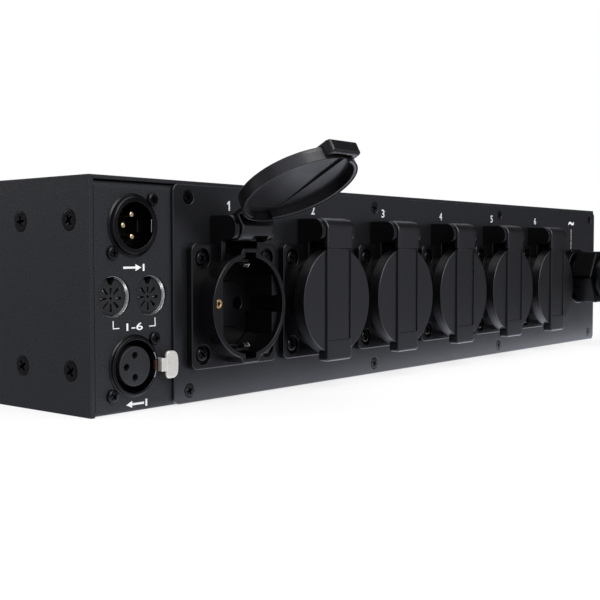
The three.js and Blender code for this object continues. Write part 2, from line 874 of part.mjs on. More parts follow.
function outputShell() {
  return cut(
    join(connectorPlate(), rod(0, 0, -connectorTail, outputRise, outputBarrel, fineSteps)),
    bore(0, 0, -connectorTail - overrun, outputRise + overrun, outputBore, mediumSteps),
    moved(
      latchOpening(-sheet - 2 * overrun - connectorPlateThick, overrun + outputRise),
      [-connectorAcross, -outputHeight, 0],
    ).subtract(rod(0, 0, -connectorTail, outputRise + 2 * overrun, outputBarrel, fineSteps)),
  );
}

function outputInsertSolid() {
  const baseFront = -connectorTail + blockShoulder;
  const base = rod(0, 0, -inputBoardDepth + seatGap, baseFront, outputBore - fitGap, mediumSteps);
  const nose = rod(0, 0, -connectorTail, outputInsertRise, outputInsert, mediumSteps);
  const holes = pinPlaces(pinCircle).map(([x, y]) => (
    rod(x, y, outputInsertRise - socketDepth, outputInsertRise + overrun, socketHole)
  ));
  return cut(join(base, nose), ...holes);
}

// The latch slides into the wall when its head is pressed; the stem runs beside the barrel
function latch() {
  const inside = outputBarrel + fitGap;
  const outside = inside + latchThick;
  const level = outputRise + latchStand;
  const headStart = outside + seatGap;
  const neckStart = outputBarrel - latchNeckOverRim;
  const stem = box(
    inside, outside,
    -latchStemWidth / 2, latchStemWidth / 2,
    -latchStemDepth, outputRise,
  );
  const riser = box(
    inside, outside,
    -latchNeckWidth / 2, latchNeckWidth / 2,
    -latchStemDepth, level + latchThick,
  );
  const neck = box(
    neckStart, headStart + latchHeadCorner,
    -latchNeckWidth / 2, latchNeckWidth / 2,
    level, level + latchThick,
  );
  const half = latchHeadWidth / 2;
  const outline = roundedRectangle(headStart, headStart + latchHeadLength, -half, half, latchHeadCorner);
  return join(stem, riser, neck, extruded(outline, level, level + latchThick, 2));
}

piece(rear, 'input_connector_shell', 'plastic', inputShell(), connectorAcross, inputHeight);
piece(rear, 'input_connector_insert', 'plastic', inputInsert(), connectorAcross, inputHeight);
piece(rear, 'output_connector_shell', 'plastic', outputShell(), connectorAcross, outputHeight);
piece(rear, 'output_connector_insert', 'plastic', outputInsertSolid(), connectorAcross, outputHeight);
piece(rear, 'output_connector_latch', 'silver', latch(), connectorAcross, outputHeight);

// Eight-pole round sockets: a bright cup round a black insert with radial slots

function dinShellSolid() {
  return ring(dinShell, dinShell - dinShellWall, -dinSink - dinShellLength, -dinSink, mediumSteps);
}

function dinInsert() {
  const face = -dinSink - dinFaceSink;
  const end = -inputBoardDepth + seatGap;
  const blockFront = -dinSink - dinShellLength - fitGap;
  const radius = dinShell - dinShellWall - fitGap;
  const core = rod(0, 0, blockFront - overrun, face, radius, mediumSteps);
  const block = box(
    -dinBlockWidth / 2, dinBlockWidth / 2,
    -dinBlockHeight / 2, dinBlockHeight / 2,
    end, blockFront,
  );
  const slotTool = box(
    dinSlotInner, dinSlotInner + dinSlotLength,
    -dinSlotWidth / 2, dinSlotWidth / 2,
    face - dinSlotDepth, face + overrun,
  );
  const slots = Array.from({ length: dinPoles }, (unused, index) => (
    aboutZ(slotTool, (index * 2 * Math.PI) / dinPoles)
  ));
  const key = box(
    -dinKeyWidth / 2, dinKeyWidth / 2,
    radius - dinKeyDepth, dinShell,
    face - dinSlotDepth, face + overrun,
  );
  return cut(join(core, block), ...slots, key);
}

dinAcross.forEach((across, index) => {
  const letter = 'ab'[index];
  piece(rear, `control_socket_shell_${letter}`, 'silver', dinShellSolid(), across, dinHeight);
  piece(rear, `control_socket_insert_${letter}`, 'plastic', dinInsert(), across, dinHeight);
});

piece(rear, 'input_board', 'board', box(
  inputBoardLeft, inputBoardRight, inputBoardLow, inputBoardHigh,
  -inputBoardDepth - circuitBoard, -inputBoardDepth,
));

// Cable gland: body through the wall, nut over its neck, and the lock nut inside

function glandBody() {
  const back = plateFront + seatGap;
  const flangeEnd = back + glandFlangeThick;
  const tail = -lockNutThick - overrun;
  return turned([
    [glandBore, tail],
    [glandThread, tail],
    [glandThread, back],
    [glandFlangeRadius, back],
    [glandFlangeRadius, flangeEnd - glandChamfer],
    [glandFlangeRadius - glandChamfer, flangeEnd],
    [glandNeckRadius, flangeEnd],
    [glandNeckRadius, flangeEnd + glandNeckLength],
    [glandBore, flangeEnd + glandNeckLength],
    [glandBore, tail],
  ], mediumSteps);
}

function glandNut() {
  const start = plateFront + seatGap + glandFlangeThick + glandNutStart;
  const hexEnd = start + glandNutLength;
  const end = hexEnd + glandDomeLength;
  const neckEnd = plateFront + seatGap + glandFlangeThick + glandNeckLength + fitGap;
  const corner = glandNutFlats / Math.sqrt(3);
  const chamfered = turned([
    [0, start],
    [corner - glandChamfer, start],
    [corner, start + glandChamfer],
    [corner, hexEnd - glandChamfer],
    [corner - glandChamfer, hexEnd],
    [0, hexEnd],
  ], mediumSteps);
  const hex = extruded(hexagon(glandNutFlats), start, hexEnd).intersect(chamfered);
  const dome = turned([
    [0, hexEnd - overrun],
    [glandDomeRadius, hexEnd - overrun],
    [glandDomeRadius, hexEnd + glandDomeLength / 4],
    [(glandDomeRadius + glandMouthRadius) / 2, hexEnd + (glandDomeLength * 3) / 4],
    [glandMouthRadius, end],
    [0, end],
  ], mediumSteps);
  return cut(
    join(hex, dome),
    bore(0, 0, start - overrun, neckEnd, glandNeckRadius + fitGap, mediumSteps),
    rod(0, 0, start, end + overrun, glandBore, mediumSteps),
  );
}

function lockNut() {
  const top = 0;
  return cut(
    extruded(hexagon(lockNutFlats), top - lockNutThick, top),
    bore(0, 0, top - lockNutThick - overrun, top + overrun, glandThread + fitGap, mediumSteps),
  );
}

piece(rear, 'gland_body', 'plastic', glandBody(), glandCentre, glandHeight);
piece(rear, 'gland_nut', 'plastic', glandNut(), glandCentre, glandHeight);
piece(rear, 'gland_lock_nut', 'plastic', lockNut(), glandCentre, glandHeight);

// Front rack panel with its ears, slots and windows

const displayWindow = {
  left: displayMiddle - displayWide / 2,
  right: displayMiddle + displayWide / 2,
  low: displayHeight - displayTall / 2,
  high: displayHeight + displayTall / 2,
};

function frontPanel() {
  const [z0, z1] = [panelBack - overrun, panelFront + overrun];
  const outline = roundedRectangle(-rackWidth / 2, rackWidth / 2, 0, bodyHeight, bendRadius / 2);
  const slotAcross = rackWidth / 2 - slotFromEdge;
  const slotShape = slot(slotHeight, slotWidth);
  const slots = [-1, 1].flatMap((x) => [-1, 1].map((y) => (
    moved(extruded(slotShape, z0, z1, 3), [x * slotAcross, panelMiddle + (y * slotSpacing) / 2, 0])
  )));
  return cut(
    extruded(outline, panelBack, panelFront),
    ...slots,
    windowCut(breakerWindow, fitGap, z0, z1),
    windowCut(displayWindow, fitGap, z0, z1),
    ...buttonCentres.map((x) => bore(x, buttonHeight, z0, z1, buttonRadius + fitGap)),
  );
}

piece(front, 'front_panel', 'coat', frontPanel());
piece(front, 'display_window', 'smoked', windowCut(displayWindow, 0, panelFront - displayThick, panelFront));

// Menu buttons: a cap through the panel, a flange behind it and a stem towards its switch

function menuButton() {
  const flangeTop = panelBack - fitGap;
  const flangeEnd = flangeTop - buttonFlangeThick;
  return turned([
    [0, flangeEnd - buttonStemLength],
    [buttonStem, flangeEnd - buttonStemLength],
    [buttonStem, flangeEnd],
    [buttonFlange, flangeEnd],
    [buttonFlange, flangeTop],
    [buttonRadius, flangeTop],
    [buttonRadius, panelFront + buttonRise - buttonRise / 4],
    [buttonRadius - buttonRise / 4, panelFront + buttonRise],
    [0, panelFront + buttonRise],
  ], coarseSteps);
}

const buttonSolid = menuButton();
buttonCentres.forEach((across, index) => {
  piece(front, `menu_button_${index + 1}`, 'pale', buttonSolid, across, buttonHeight);
});

// Circuit breakers, clipped side by side on the rail, their noses through the panel

const noseFront = panelFront + breakerNoseRise;
const togglePivot = noseFront - toggleSink;

function breakerBody() {
  const half = breakerHeight / 2;
  const nose = breakerNoseHeight / 2 - fitGap;
  const outline = polygon([
    [-breakerRear, -half],
    [-breakerShoulder, -half],
    [-breakerShoulder, -nose],
    [noseFront, -nose],
    [noseFront, nose],
    [-breakerShoulder, nose],
    [-breakerShoulder, half],
    [-breakerRear, half],
  ]);
  const slotHalf = toggleWidth / 2 + fitGap;
  return cut(
    extrudedAcross(outline, -breakerWidth / 2, breakerWidth / 2),
    box(
      -slotHalf, slotHalf,
      -toggleSlotHeight / 2, toggleSlotHeight / 2,
      togglePivot - toggleHub - fitGap, noseFront + overrun,
    ),
  );
}

// The lever is drawn pointing straight out of the panel, with its pivot at the origin
function breakerToggle() {
  const shape = new THREE.Shape();
  const tipCentre = toggleArm - toggleTip;
  const lean = Math.asin((toggleHub - toggleTip) / tipCentre);
  shape.absarc(0, 0, toggleHub, Math.PI / 2 - lean, 1.5 * Math.PI + lean, false);
  shape.absarc(tipCentre, 0, toggleTip, -Math.PI / 2 + lean, Math.PI / 2 - lean, false);
  return extrudedAcross(shape, -toggleWidth / 2, toggleWidth / 2, 3);
}

const breakerSolid = breakerBody();
const toggleSolid = breakerToggle();
breakerCentres.forEach((across, index) => {
  const number = index + 1;
  piece(front, `breaker_body_${number}`, 'pale', breakerSolid, across, panelMiddle);
  const lever = `breaker_toggle_${number}`;
  const toggle = piece(front, lever, 'plastic', toggleSolid, across, panelMiddle, togglePivot);
  toggle.rotation.x = -toggleAngle;
});

// Rail for the breakers, standing on the floor of the tray

function breakerRail() {
  const half = railHeight / 2;
  const lipFront = -breakerRear - fitGap;
  const web = lipFront - railDepth;
  const hat = polygon([
    [lipFront, -half],
    [lipFront, -half + railLip],
    [web + railSheet, -half + railLip],
    [web + railSheet, half - railLip],
    [lipFront, half - railLip],
    [lipFront, half],
    [lipFront - railSheet, half],
    [lipFront - railSheet, half - railLip + railSheet],
    [web, half - railLip + railSheet],
    [web, -half + railLip - railSheet],
    [lipFront - railSheet, -half + railLip - railSheet],
    [lipFront - railSheet, -half],
  ]);
  const reach = (breakerCount * breakerPitch) / 2;
  const foot = (x) => box(
    x - railFoot / 2, x + railFoot / 2,
    floorTop - panelMiddle, half / 2,
    web - 2 * railSheet, web + railSheet / 2,
  );
  return join(
    extrudedAcross(hat, -reach, reach),
    foot(-railFootReach),
    foot(railFootReach),
  );
}

piece(front, 'breaker_rail', 'alloy', breakerRail(), breakerRowMiddle, panelMiddle);

// Control board: posts to the panel, the display and the switches of the buttons

function controlBoard() {
  const face = -boardBehindPanel;
  const left = displayMiddle - boardWidth / 2;
  const right = displayMiddle + boardWidth / 2;
  const postsAt = [left + boardPostInset, right - boardPostInset].flatMap((x) => (
    [boardLow + boardPostInset, boardHigh - boardPostInset].map((y) => [x, y])
  ));
  const posts = postsAt.map(([x, y]) => rod(x, y, face - overrun, panelBack - seatGap, boardPost));
  const lamp = windowCut(displayWindow, -windowMargin, face - overrun, panelFront - displayThick - fitGap);
  const half = switchWidth / 2;
  const stemEnd = panelBack - fitGap - buttonFlangeThick - buttonStemLength;
  const switches = buttonCentres.map((x) => box(
    x - half, x + half,
    buttonHeight - half, buttonHeight + half,
    face - overrun, stemEnd - buttonTravel - fitGap,
  ));
  const board = box(left, right, boardLow, boardHigh, face - circuitBoard, face);
  return join(board, lamp, ...posts, ...switches);
}

piece(front, 'control_board', 'board', controlBoard());

// Power board with its six chokes and switching devices, and the finned heat sink behind it

const sinkFront = powerBoardMiddle + powerBoardDepth / 2 + triacThick;

function powerBoard() {
  const halfWidth = powerBoardWidth / 2;
  const low = powerBoardMiddle - powerBoardDepth / 2;
  const high = powerBoardMiddle + powerBoardDepth / 2;
  const under = floorTop + powerBoardLift;
  const top = under + circuitBoard;
  const posts = [-1, 1].flatMap((x) => [low, high].map((y) => rod(
    x * (halfWidth - 2 * postRadius), y + (y === low ? 2 : -2) * postRadius,
    floorTop, under + circuitBoard / 2, postRadius,
  )));
  const across = outletCentres.map((unused, index) => (index - (outletCount - 1) / 2) * chokePitch);
  const choke = ring(chokeRadius, chokeBore, top - circuitBoard / 2, top + chokeHeight, coarseSteps);
  const chokes = across.map((x) => moved(choke, [x, low + chokeSetback, 0]));
  const triacs = across.map((x) => box(
    x - triacWidth / 2, x + triacWidth / 2,
    high - triacThick / 2, high + triacThick - fitGap,
    under, top + triacTall,
  ));
  return join(box(-halfWidth, halfWidth, low, high, under, top), ...posts, ...chokes, ...triacs);
}

function heatSink() {
  const finPitch = (sinkTall - sinkFinThick) / (sinkFins - 1);
  const finEnd = sinkFront + sinkBase + sinkFinLength;
  const points = [[sinkFront, floorTop], [sinkFront, floorTop + sinkTall]];
  for (let fin = sinkFins - 1; fin >= 0; fin -= 1) {
    const low = floorTop + fin * finPitch;
    const root = sinkFront + sinkBase;
    points.push([root, low + sinkFinThick], [finEnd, low + sinkFinThick], [finEnd, low], [root, low]);
  }
  const across = polygon([...points.slice(0, 2), ...points.slice(3, -1)]);
  const fold = new THREE.ExtrudeGeometry(across, { depth: sinkWidth, bevelEnabled: false });
  return solidOf(fold.translate(0, 0, -sinkWidth / 2).applyMatrix4(
    new THREE.Matrix4().makeRotationFromEuler(new THREE.Euler(Math.PI / 2, Math.PI / 2, 0)),
  ));
}

piece(pack, 'power_board', 'board', powerBoard());
piece(pack, 'heat_sink', 'alloy', heatSink());

// Terminals for the incoming mains cable, beside the gland

function terminalBlock() {
  const half = terminalWidth / 2;
  const pitch = terminalWidth / terminalPoles;
  const holes = Array.from({ length: terminalPoles }, (unused, index) => (
    rod(
      -half + (index + 0.5) * pitch, terminalTall / 2,
      -terminalHoleDepth, overrun,
      terminalHole,
    )
  ));
  return cut(box(-half, half, 0, terminalTall, -terminalDepth, 0), ...holes);
}

piece(rear, 'terminal_block', 'pale', terminalBlock(), glandCentre, floorTop, -terminalFromWall);

export default pack;
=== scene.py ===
"""Looks of the six-channel dimmer pack: finer pieces, finishes, studio and camera.

Shapes are drawn in millimetres on one wall of the case: across, up and out of it.
They are put in their place, in metres, when a piece is finished.
"""

import logging
from dataclasses import dataclass, field
from enum import Enum
from math import asin, atan2, cos, pi, radians, sin, sqrt, tan

import bmesh
import bpy
from mathutils import Matrix, Vector
from mathutils.geometry import tessellate_polygon


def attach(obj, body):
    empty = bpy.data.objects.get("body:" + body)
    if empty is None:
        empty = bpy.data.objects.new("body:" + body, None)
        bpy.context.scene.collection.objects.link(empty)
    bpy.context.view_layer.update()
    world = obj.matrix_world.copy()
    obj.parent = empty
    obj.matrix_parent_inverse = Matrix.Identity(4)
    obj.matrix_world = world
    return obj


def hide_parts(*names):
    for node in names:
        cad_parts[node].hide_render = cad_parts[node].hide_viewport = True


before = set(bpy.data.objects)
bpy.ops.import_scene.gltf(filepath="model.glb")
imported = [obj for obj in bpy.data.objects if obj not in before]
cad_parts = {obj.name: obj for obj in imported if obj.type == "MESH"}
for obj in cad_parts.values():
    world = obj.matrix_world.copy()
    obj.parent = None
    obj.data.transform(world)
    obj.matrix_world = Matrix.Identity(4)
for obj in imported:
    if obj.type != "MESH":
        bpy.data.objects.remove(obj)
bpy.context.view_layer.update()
LOG = logging.getLogger("dimmer_pack")
MM = 0.001
CHASSIS = "chassis"

Point = tuple[float, float]
Loop = list[Point]


# Finishes


@dataclass(frozen=True)
class Finish:
    """How one surface looks: its tones, gloss, grain and smudges.

    Attributes:
        slot: Material slot of the record that the finish belongs to; not used by this script.
        low: Darker tone, linear red, green and blue.
        high: Lighter tone of the flecks.
        gloss: Roughness where the surface is cleanest.
        matt: Roughness where it is dullest.
        metallic: Share of metal.
        specular: Specular level of the shader.
        grain: Size of the grain in millimetres.
        depth: Strength of the grain's bump.
        smudge: Size of the uneven patches in millimetres.
        stretch: Scale of the pattern along X, Y and Z, for a brushed surface.
        glow: Strength of the surface's own light.
        coat: Weight of a clear coat.
    """

    slot: str
    low: tuple[float, float, float]
    high: tuple[float, float, float]
    gloss: float
    matt: float
    metallic: float = 0.0
    specular: float = 0.4
    grain: float = 0.5
    depth: float = 0.1
    smudge: float = 40.0
    stretch: tuple[float, float, float] = (1.0, 1.0, 1.0)
    glow: float = 0.0
    coat: float = 0.0


class Finishes(Enum):
    """Every finish on the pack."""

    POWDER_COAT = Finish("powder_coat", (0.0122, 0.0127, 0.0148), (0.0248, 0.0258, 0.0294), 0.46, 0.56,
                         specular=0.18, grain=0.5, depth=0.34, smudge=90.0)
    PLATE = Finish("powder_coat", (0.005, 0.0052, 0.0064), (0.0082, 0.0086, 0.0102), 0.27, 0.34,
                   specular=0.42, grain=0.3, depth=0.16, smudge=70.0)
    HOUSING = Finish("black_plastic", (0.0007, 0.0007, 0.001), (0.0013, 0.0013, 0.0018), 0.26, 0.34,
                     specular=0.34, grain=0.3, depth=0.06, smudge=25.0)
    LID = Finish("lid_plastic", (0.003, 0.003, 0.0036), (0.0038, 0.0038, 0.0045), 0.27, 0.3,
                 specular=0.52, grain=0.35, depth=0.03, smudge=30.0)
    WELL = Finish("black_plastic", (0.0014, 0.0014, 0.0018), (0.0022, 0.0022, 0.0027), 0.3, 0.38,
                  specular=0.3, grain=0.4, depth=0.05, smudge=15.0)
    CONNECTOR = Finish("black_plastic", (0.0007, 0.0007, 0.001), (0.0012, 0.0012, 0.0016), 0.2, 0.28,
                       specular=0.2, grain=0.4, depth=0.04, smudge=10.0)
    INSERT = Finish("black_plastic", (0.0095, 0.0098, 0.011), (0.0125, 0.013, 0.0143), 0.42, 0.5,
                    specular=0.35, grain=0.3, depth=0.1, smudge=8.0)
    GLAND = Finish("black_plastic", (0.0004, 0.0004, 0.0006), (0.0007, 0.0007, 0.001), 0.16, 0.22,
                   specular=0.1, grain=0.5, depth=0.05, smudge=14.0)
    RUBBER = Finish("black_plastic", (0.003, 0.003, 0.0033), (0.0045, 0.0045, 0.005), 0.65, 0.75,
                    specular=0.2, grain=0.4, depth=0.15, smudge=10.0)
    SCREW = Finish("bright_metal", (0.0008, 0.0008, 0.001), (0.0016, 0.0016, 0.002), 0.12, 0.2,
                   specular=0.2, grain=0.4, depth=0.08, smudge=3.0)
    STEEL = Finish("bright_metal", (0.5, 0.5, 0.48), (0.66, 0.66, 0.64), 0.16, 0.26,
                   metallic=1.0, grain=0.6, depth=0.03, smudge=6.0)
    NICKEL = Finish("latch_metal", (0.6, 0.58, 0.54), (0.7, 0.68, 0.64), 0.3, 0.4,
                    metallic=0.45, grain=0.5, depth=0.12, smudge=5.0, stretch=(0.25, 1.0, 2.5))
    GOLD = Finish("bright_metal", (0.72, 0.53, 0.3), (0.86, 0.68, 0.44), 0.18, 0.26,
                  metallic=1.0, grain=0.5, depth=0.03, smudge=3.0)
    BRASS = Finish("bright_metal", (0.5, 0.31, 0.13), (0.72, 0.48, 0.24), 0.22, 0.32,
                   metallic=0.85, grain=0.4, depth=0.08, smudge=3.0)
    COPPER = Finish("bright_metal", (0.1, 0.055, 0.03), (0.16, 0.095, 0.06), 0.3, 0.4,
                    metallic=0.8, grain=0.4, depth=0.08, smudge=2.0)
    PRINT = Finish("pale_plastic", (0.68, 0.69, 0.7), (0.78, 0.79, 0.8), 0.5, 0.6,
                   specular=0.2, grain=0.5, depth=0.1, smudge=8.0)
    BREAKER = Finish("pale_plastic", (0.3, 0.31, 0.315), (0.35, 0.36, 0.365), 0.42, 0.5,
                     grain=0.4, depth=0.08, smudge=20.0)
    TOGGLE = Finish("toggle_plastic", (0.012, 0.012, 0.013), (0.018, 0.018, 0.0195), 0.3, 0.38,
                    grain=0.4, depth=0.06, smudge=8.0)
    BUTTON = Finish("button_plastic", (0.06, 0.061, 0.064), (0.08, 0.081, 0.084), 0.55, 0.65,
                    grain=0.4, depth=0.15, smudge=6.0)
    ALLOY = Finish("alloy", (0.4, 0.41, 0.42), (0.52, 0.53, 0.54), 0.35, 0.45,
                   metallic=1.0, grain=0.7, depth=0.1, smudge=20.0, stretch=(0.2, 1.0, 1.0))
    BOARD = Finish("circuit_board", (0.012, 0.07, 0.03), (0.03, 0.13, 0.055), 0.35, 0.45,
                   grain=1.8, depth=0.1, smudge=12.0)
    WINDOW = Finish("display_window", (0.012, 0.0025, 0.0025), (0.018, 0.004, 0.004), 0.06, 0.1,
                    grain=0.5, depth=0.01, smudge=20.0, coat=0.5)
    LIT = Finish("display_window", (0.8, 0.03, 0.015), (0.9, 0.05, 0.03), 0.4, 0.45,
                 grain=0.5, depth=0.02, smudge=4.0, glow=1.4)
    UNLIT = Finish("display_window", (0.035, 0.006, 0.006), (0.045, 0.009, 0.009), 0.3, 0.35,
                   grain=0.5, depth=0.02, smudge=4.0)


class Palette:
    """Builds the finishes as materials, once each, from two shared groups."""

    def __init__(self) -> None:
        """Make the shared groups."""
        self.grain = self._grain_group()
        self.smudge = self._smudge_group()
        self.made: dict[Finishes, bpy.types.Material] = {}

    @staticmethod
    def _group(name: str, inputs: dict[str, float], outputs: list[str]) -> bpy.types.NodeTree:
        """Start a shader group with a vector input and the named values.

        Args:
            name: Name of the group.
            inputs: Value inputs and what they start at.
            outputs: Value outputs.

        Returns:
            The group's tree, with its input and output nodes.
        """
        tree = bpy.data.node_groups.new(name, "ShaderNodeTree")
        tree.interface.new_socket("Vector", in_out="INPUT", socket_type="NodeSocketVector")
        for label, value in inputs.items():
            socket = tree.interface.new_socket(label, in_out="INPUT", socket_type="NodeSocketFloat")
            socket.default_value = value
        for label in outputs:
            tree.interface.new_socket(label, in_out="OUTPUT", socket_type="NodeSocketFloat")
        tree.nodes.new("NodeGroupInput").name = "In"
        tree.nodes.new("NodeGroupOutput").name = "Out"
        return tree

    def _grain_group(self) -> bpy.types.NodeTree:
        """Fine grain: a height for the bump and flecks for the colour.

        Returns:
            The group, with the grain's size in millimetres as its input.
        """
        tree = self._group("fine_grain", {"Size": 0.5}, ["Height", "Fleck"])
        nodes, links = tree.nodes, tree.links
        scale = nodes.new("ShaderNodeMath")
        scale.operation = "DIVIDE"
        scale.inputs[0].default_value = 1 / MM
        links.new(nodes["In"].outputs["Size"], scale.inputs[1])
        noise = nodes.new("ShaderNodeTexNoise")
        noise.inputs["Detail"].default_value = 3
        cells = nodes.new("ShaderNodeTexVoronoi")
        cells.feature = "SMOOTH_F1"
        for texture in (noise, cells):
            links.new(nodes["In"].outputs["Vector"], texture.inputs["Vector"])
            links.new(scale.outputs[0], texture.inputs["Scale"])
        blend = nodes.new("ShaderNodeMath")
        blend.operation = "MULTIPLY_ADD"
        blend.inputs[1].default_value = 0.6
        links.new(cells.outputs["Distance"], blend.inputs[0])
        links.new(noise.outputs["Fac"], blend.inputs[2])
        links.new(blend.outputs[0], nodes["Out"].inputs["Height"])
        fleck = nodes.new("ShaderNodeMapRange")
        fleck.inputs["From Min"].default_value = 0.42
        fleck.inputs["From Max"].default_value = 0.68
        links.new(noise.outputs["Fac"], fleck.inputs["Value"])
        links.new(fleck.outputs["Result"], nodes["Out"].inputs["Fleck"])
        return tree

    def _smudge_group(self) -> bpy.types.NodeTree:
        """Uneven patches that vary the gloss over a surface.

        Returns:
            The group, with the patches' size in millimetres as its input.
        """
        tree = self._group("uneven_gloss", {"Size": 30.0}, ["Mask"])
        nodes, links = tree.nodes, tree.links
        scale = nodes.new("ShaderNodeMath")
        scale.operation = "DIVIDE"
        scale.inputs[0].default_value = 1 / MM
        links.new(nodes["In"].outputs["Size"], scale.inputs[1])
        noise = nodes.new("ShaderNodeTexNoise")
        noise.inputs["Detail"].default_value = 5
        noise.inputs["Distortion"].default_value = 0.4
        links.new(nodes["In"].outputs["Vector"], noise.inputs["Vector"])
        links.new(scale.outputs[0], noise.inputs["Scale"])
        spread = nodes.new("ShaderNodeMapRange")
        spread.inputs["From Min"].default_value = 0.3
        spread.inputs["From Max"].default_value = 0.7
        links.new(noise.outputs["Fac"], spread.inputs["Value"])
        links.new(spread.outputs["Result"], nodes["Out"].inputs["Mask"])
        return tree

    def material(self, choice: Finishes) -> bpy.types.Material:
        """Give the material of a finish, making it at its first use.

        Args:
            choice: The finish.

        Returns:
            The material.
        """
        if choice in self.made:
            return self.made[choice]
        finish = choice.value
        material = bpy.data.materials.new(choice.name.lower())
        material.use_nodes = True
        nodes, links = material.node_tree.nodes, material.node_tree.links
        shader = nodes["Principled BSDF"]
        shader.inputs["Metallic"].default_value = finish.metallic
        shader.inputs["Specular IOR Level"].default_value = finish.specular
        shader.inputs["Coat Weight"].default_value = finish.coat
        place = nodes.new("ShaderNodeTexCoord")
        mapping = nodes.new("ShaderNodeMapping")
        mapping.inputs["Scale"].default_value = finish.stretch
        links.new(place.outputs["Object"], mapping.inputs["Vector"])
        grain = nodes.new("ShaderNodeGroup")
        grain.node_tree = self.grain
        grain.inputs["Size"].default_value = finish.grain
        smudge = nodes.new("ShaderNodeGroup")
        smudge.node_tree = self.smudge
        smudge.inputs["Size"].default_value = finish.smudge
        for group in (grain, smudge):
            links.new(mapping.outputs["Vector"], group.inputs["Vector"])
        tone = nodes.new("ShaderNodeMix")
        tone.data_type = "RGBA"
        tone.inputs[6].default_value = (*finish.low, 1)
        tone.inputs[7].default_value = (*finish.high, 1)
        links.new(grain.outputs["Fleck"], tone.inputs[0])
        links.new(tone.outputs[2], shader.inputs["Base Color"])
        gloss = nodes.new("ShaderNodeMapRange")
        gloss.inputs["To Min"].default_value = finish.gloss
        gloss.inputs["To Max"].default_value = finish.matt
        links.new(smudge.outputs["Mask"], gloss.inputs["Value"])
        links.new(gloss.outputs["Result"], shader.inputs["Roughness"])
        bump = nodes.new("ShaderNodeBump")
        bump.inputs["Strength"].default_value = finish.depth
        bump.inputs["Distance"].default_value = 0.3 * MM
        links.new(grain.outputs["Height"], bump.inputs["Height"])
        links.new(bump.outputs["Normal"], shader.inputs["Normal"])
        if finish.glow:
            links.new(tone.outputs[2], shader.inputs["Emission Color"])
            shader.inputs["Emission Strength"].default_value = finish.glow
        self.made[choice] = material
        return material


# Outlines


def circle(radius: float, steps: int = 48, centre: Point = (0.0, 0.0)) -> Loop:
    """Draw a circle.

    Args:
        radius: Its radius.
        steps: Points round it.
        centre: Its middle.

    Returns:
        The points, counter-clockwise.
    """
    turns = (2 * pi * step / steps for step in range(steps))
    return [(centre[0] + radius * cos(turn), centre[1] + radius * sin(turn)) for turn in turns]


def soften(corners: Loop, radius: float | list[float], steps: int = 4, closed: bool = True) -> Loop:
    """Round the corners of an outline.

    Args:
        corners: The sharp outline.
        radius: One radius for all corners, or one for each.
        steps: Steps of each arc.
        closed: False for an open line, whose ends stay.

    Returns:
        The outline with an arc at each corner that has a radius.
    """
    radii = radius if isinstance(radius, list) else [radius] * len(corners)
    loop: Loop = []
    for index, corner in enumerate(corners):
        here = Vector(corner)
        is_end = not closed and index in (0, len(corners) - 1)
        if radii[index] <= 0 or is_end:
            loop.append(corner)
            continue
        before = Vector(corners[index - 1]) - here
        after = Vector(corners[(index + 1) % len(corners)]) - here
        half = before.angle(after) / 2
        reach = min(radii[index] / tan(half), 0.49 * before.length, 0.49 * after.length)
        middle = here + (before.normalized() + after.normalized()).normalized() * reach / cos(half)
        start = here + before.normalized() * reach - middle
        end = here + after.normalized() * reach - middle
        first = atan2(start.y, start.x)
        sweep = (atan2(end.y, end.x) - first + pi) % (2 * pi) - pi
        for step in range(steps + 1):
            turn = first + sweep * step / steps
            loop.append((middle.x + start.length * cos(turn), middle.y + start.length * sin(turn)))
    return loop


def rectangle(x0: float, x1: float, y0: float, y1: float, radius: float = 0.0, steps: int = 4) -> Loop:
    """Draw a rectangle with round corners.

    Args:
        x0: Left side.
        x1: Right side.
        y0: Lower side.
        y1: Upper side.
        radius: Radius of the corners.
        steps: Steps of each corner's arc.

    Returns:
        The points, counter-clockwise.
    """
    return soften([(x0, y0), (x1, y0), (x1, y1), (x0, y1)], radius, steps)


def arc(radius: float, start: float, end: float, steps: int) -> Loop:
    """Draw an arc round the origin.

    Args:
        radius: Its radius.
        start: First angle in degrees.
        end: Last angle in degrees.
        steps: Its steps.

    Returns:
        The points of the open arc.
    """
    turns = [radians(start + (end - start) * step / steps) for step in range(steps + 1)]
    return [(radius * cos(turn), radius * sin(turn)) for turn in turns]


def keyed_circle(radius: float, half: float, reach: float, slant: float, corner: float) -> Loop:
    """Draw a circle with a square key at its top and bottom.

    Args:
        radius: Radius of the circle.
        half: Half the key's width at its end.
        reach: How far from the middle a key ends.
        slant: How much wider a key is on each side at its root.
        corner: Radius of the key's outer corners.

    Returns:
        The points, counter-clockwise.
    """
    root = half + slant
    level = sqrt(radius ** 2 - root ** 2)
    start = 90 - asin(root / radius) * 180 / pi
    side = arc(radius, -start, start, 36)[1:-1]
    key = [(root, level), (half, reach), (-half, reach), (-root, level)]
    loop = side + key + [(-x, -y) for x, y in side] + [(-x, -y) for x, y in key]
    radii = ([0.0] * len(side) + [0.0, corner, corner, 0.0]) * 2
    return soften(loop, radii, 3)


def grown(loop: Loop, by: float) -> Loop:
    """Move an outline outwards.

    Args:
        loop: A counter-clockwise outline.
        by: How far, negative for inwards.

    Returns:
        The new outline, point for point.
    """
    if by == 0:
        return loop
    result: Loop = []
    for index, corner in enumerate(loop):
        here = Vector(corner)
        first = (here - Vector(loop[index - 1])).normalized()
        second = (Vector(loop[(index + 1) % len(loop)]) - here).normalized()
        normals = (Vector((first.y, -first.x)), Vector((second.y, -second.x)))
        middle = (normals[0] + normals[1]).normalized()
        moved = here + middle * by / max(0.35, middle.dot(normals[0]))
        result.append((moved.x, moved.y))
    return result


# Meshes


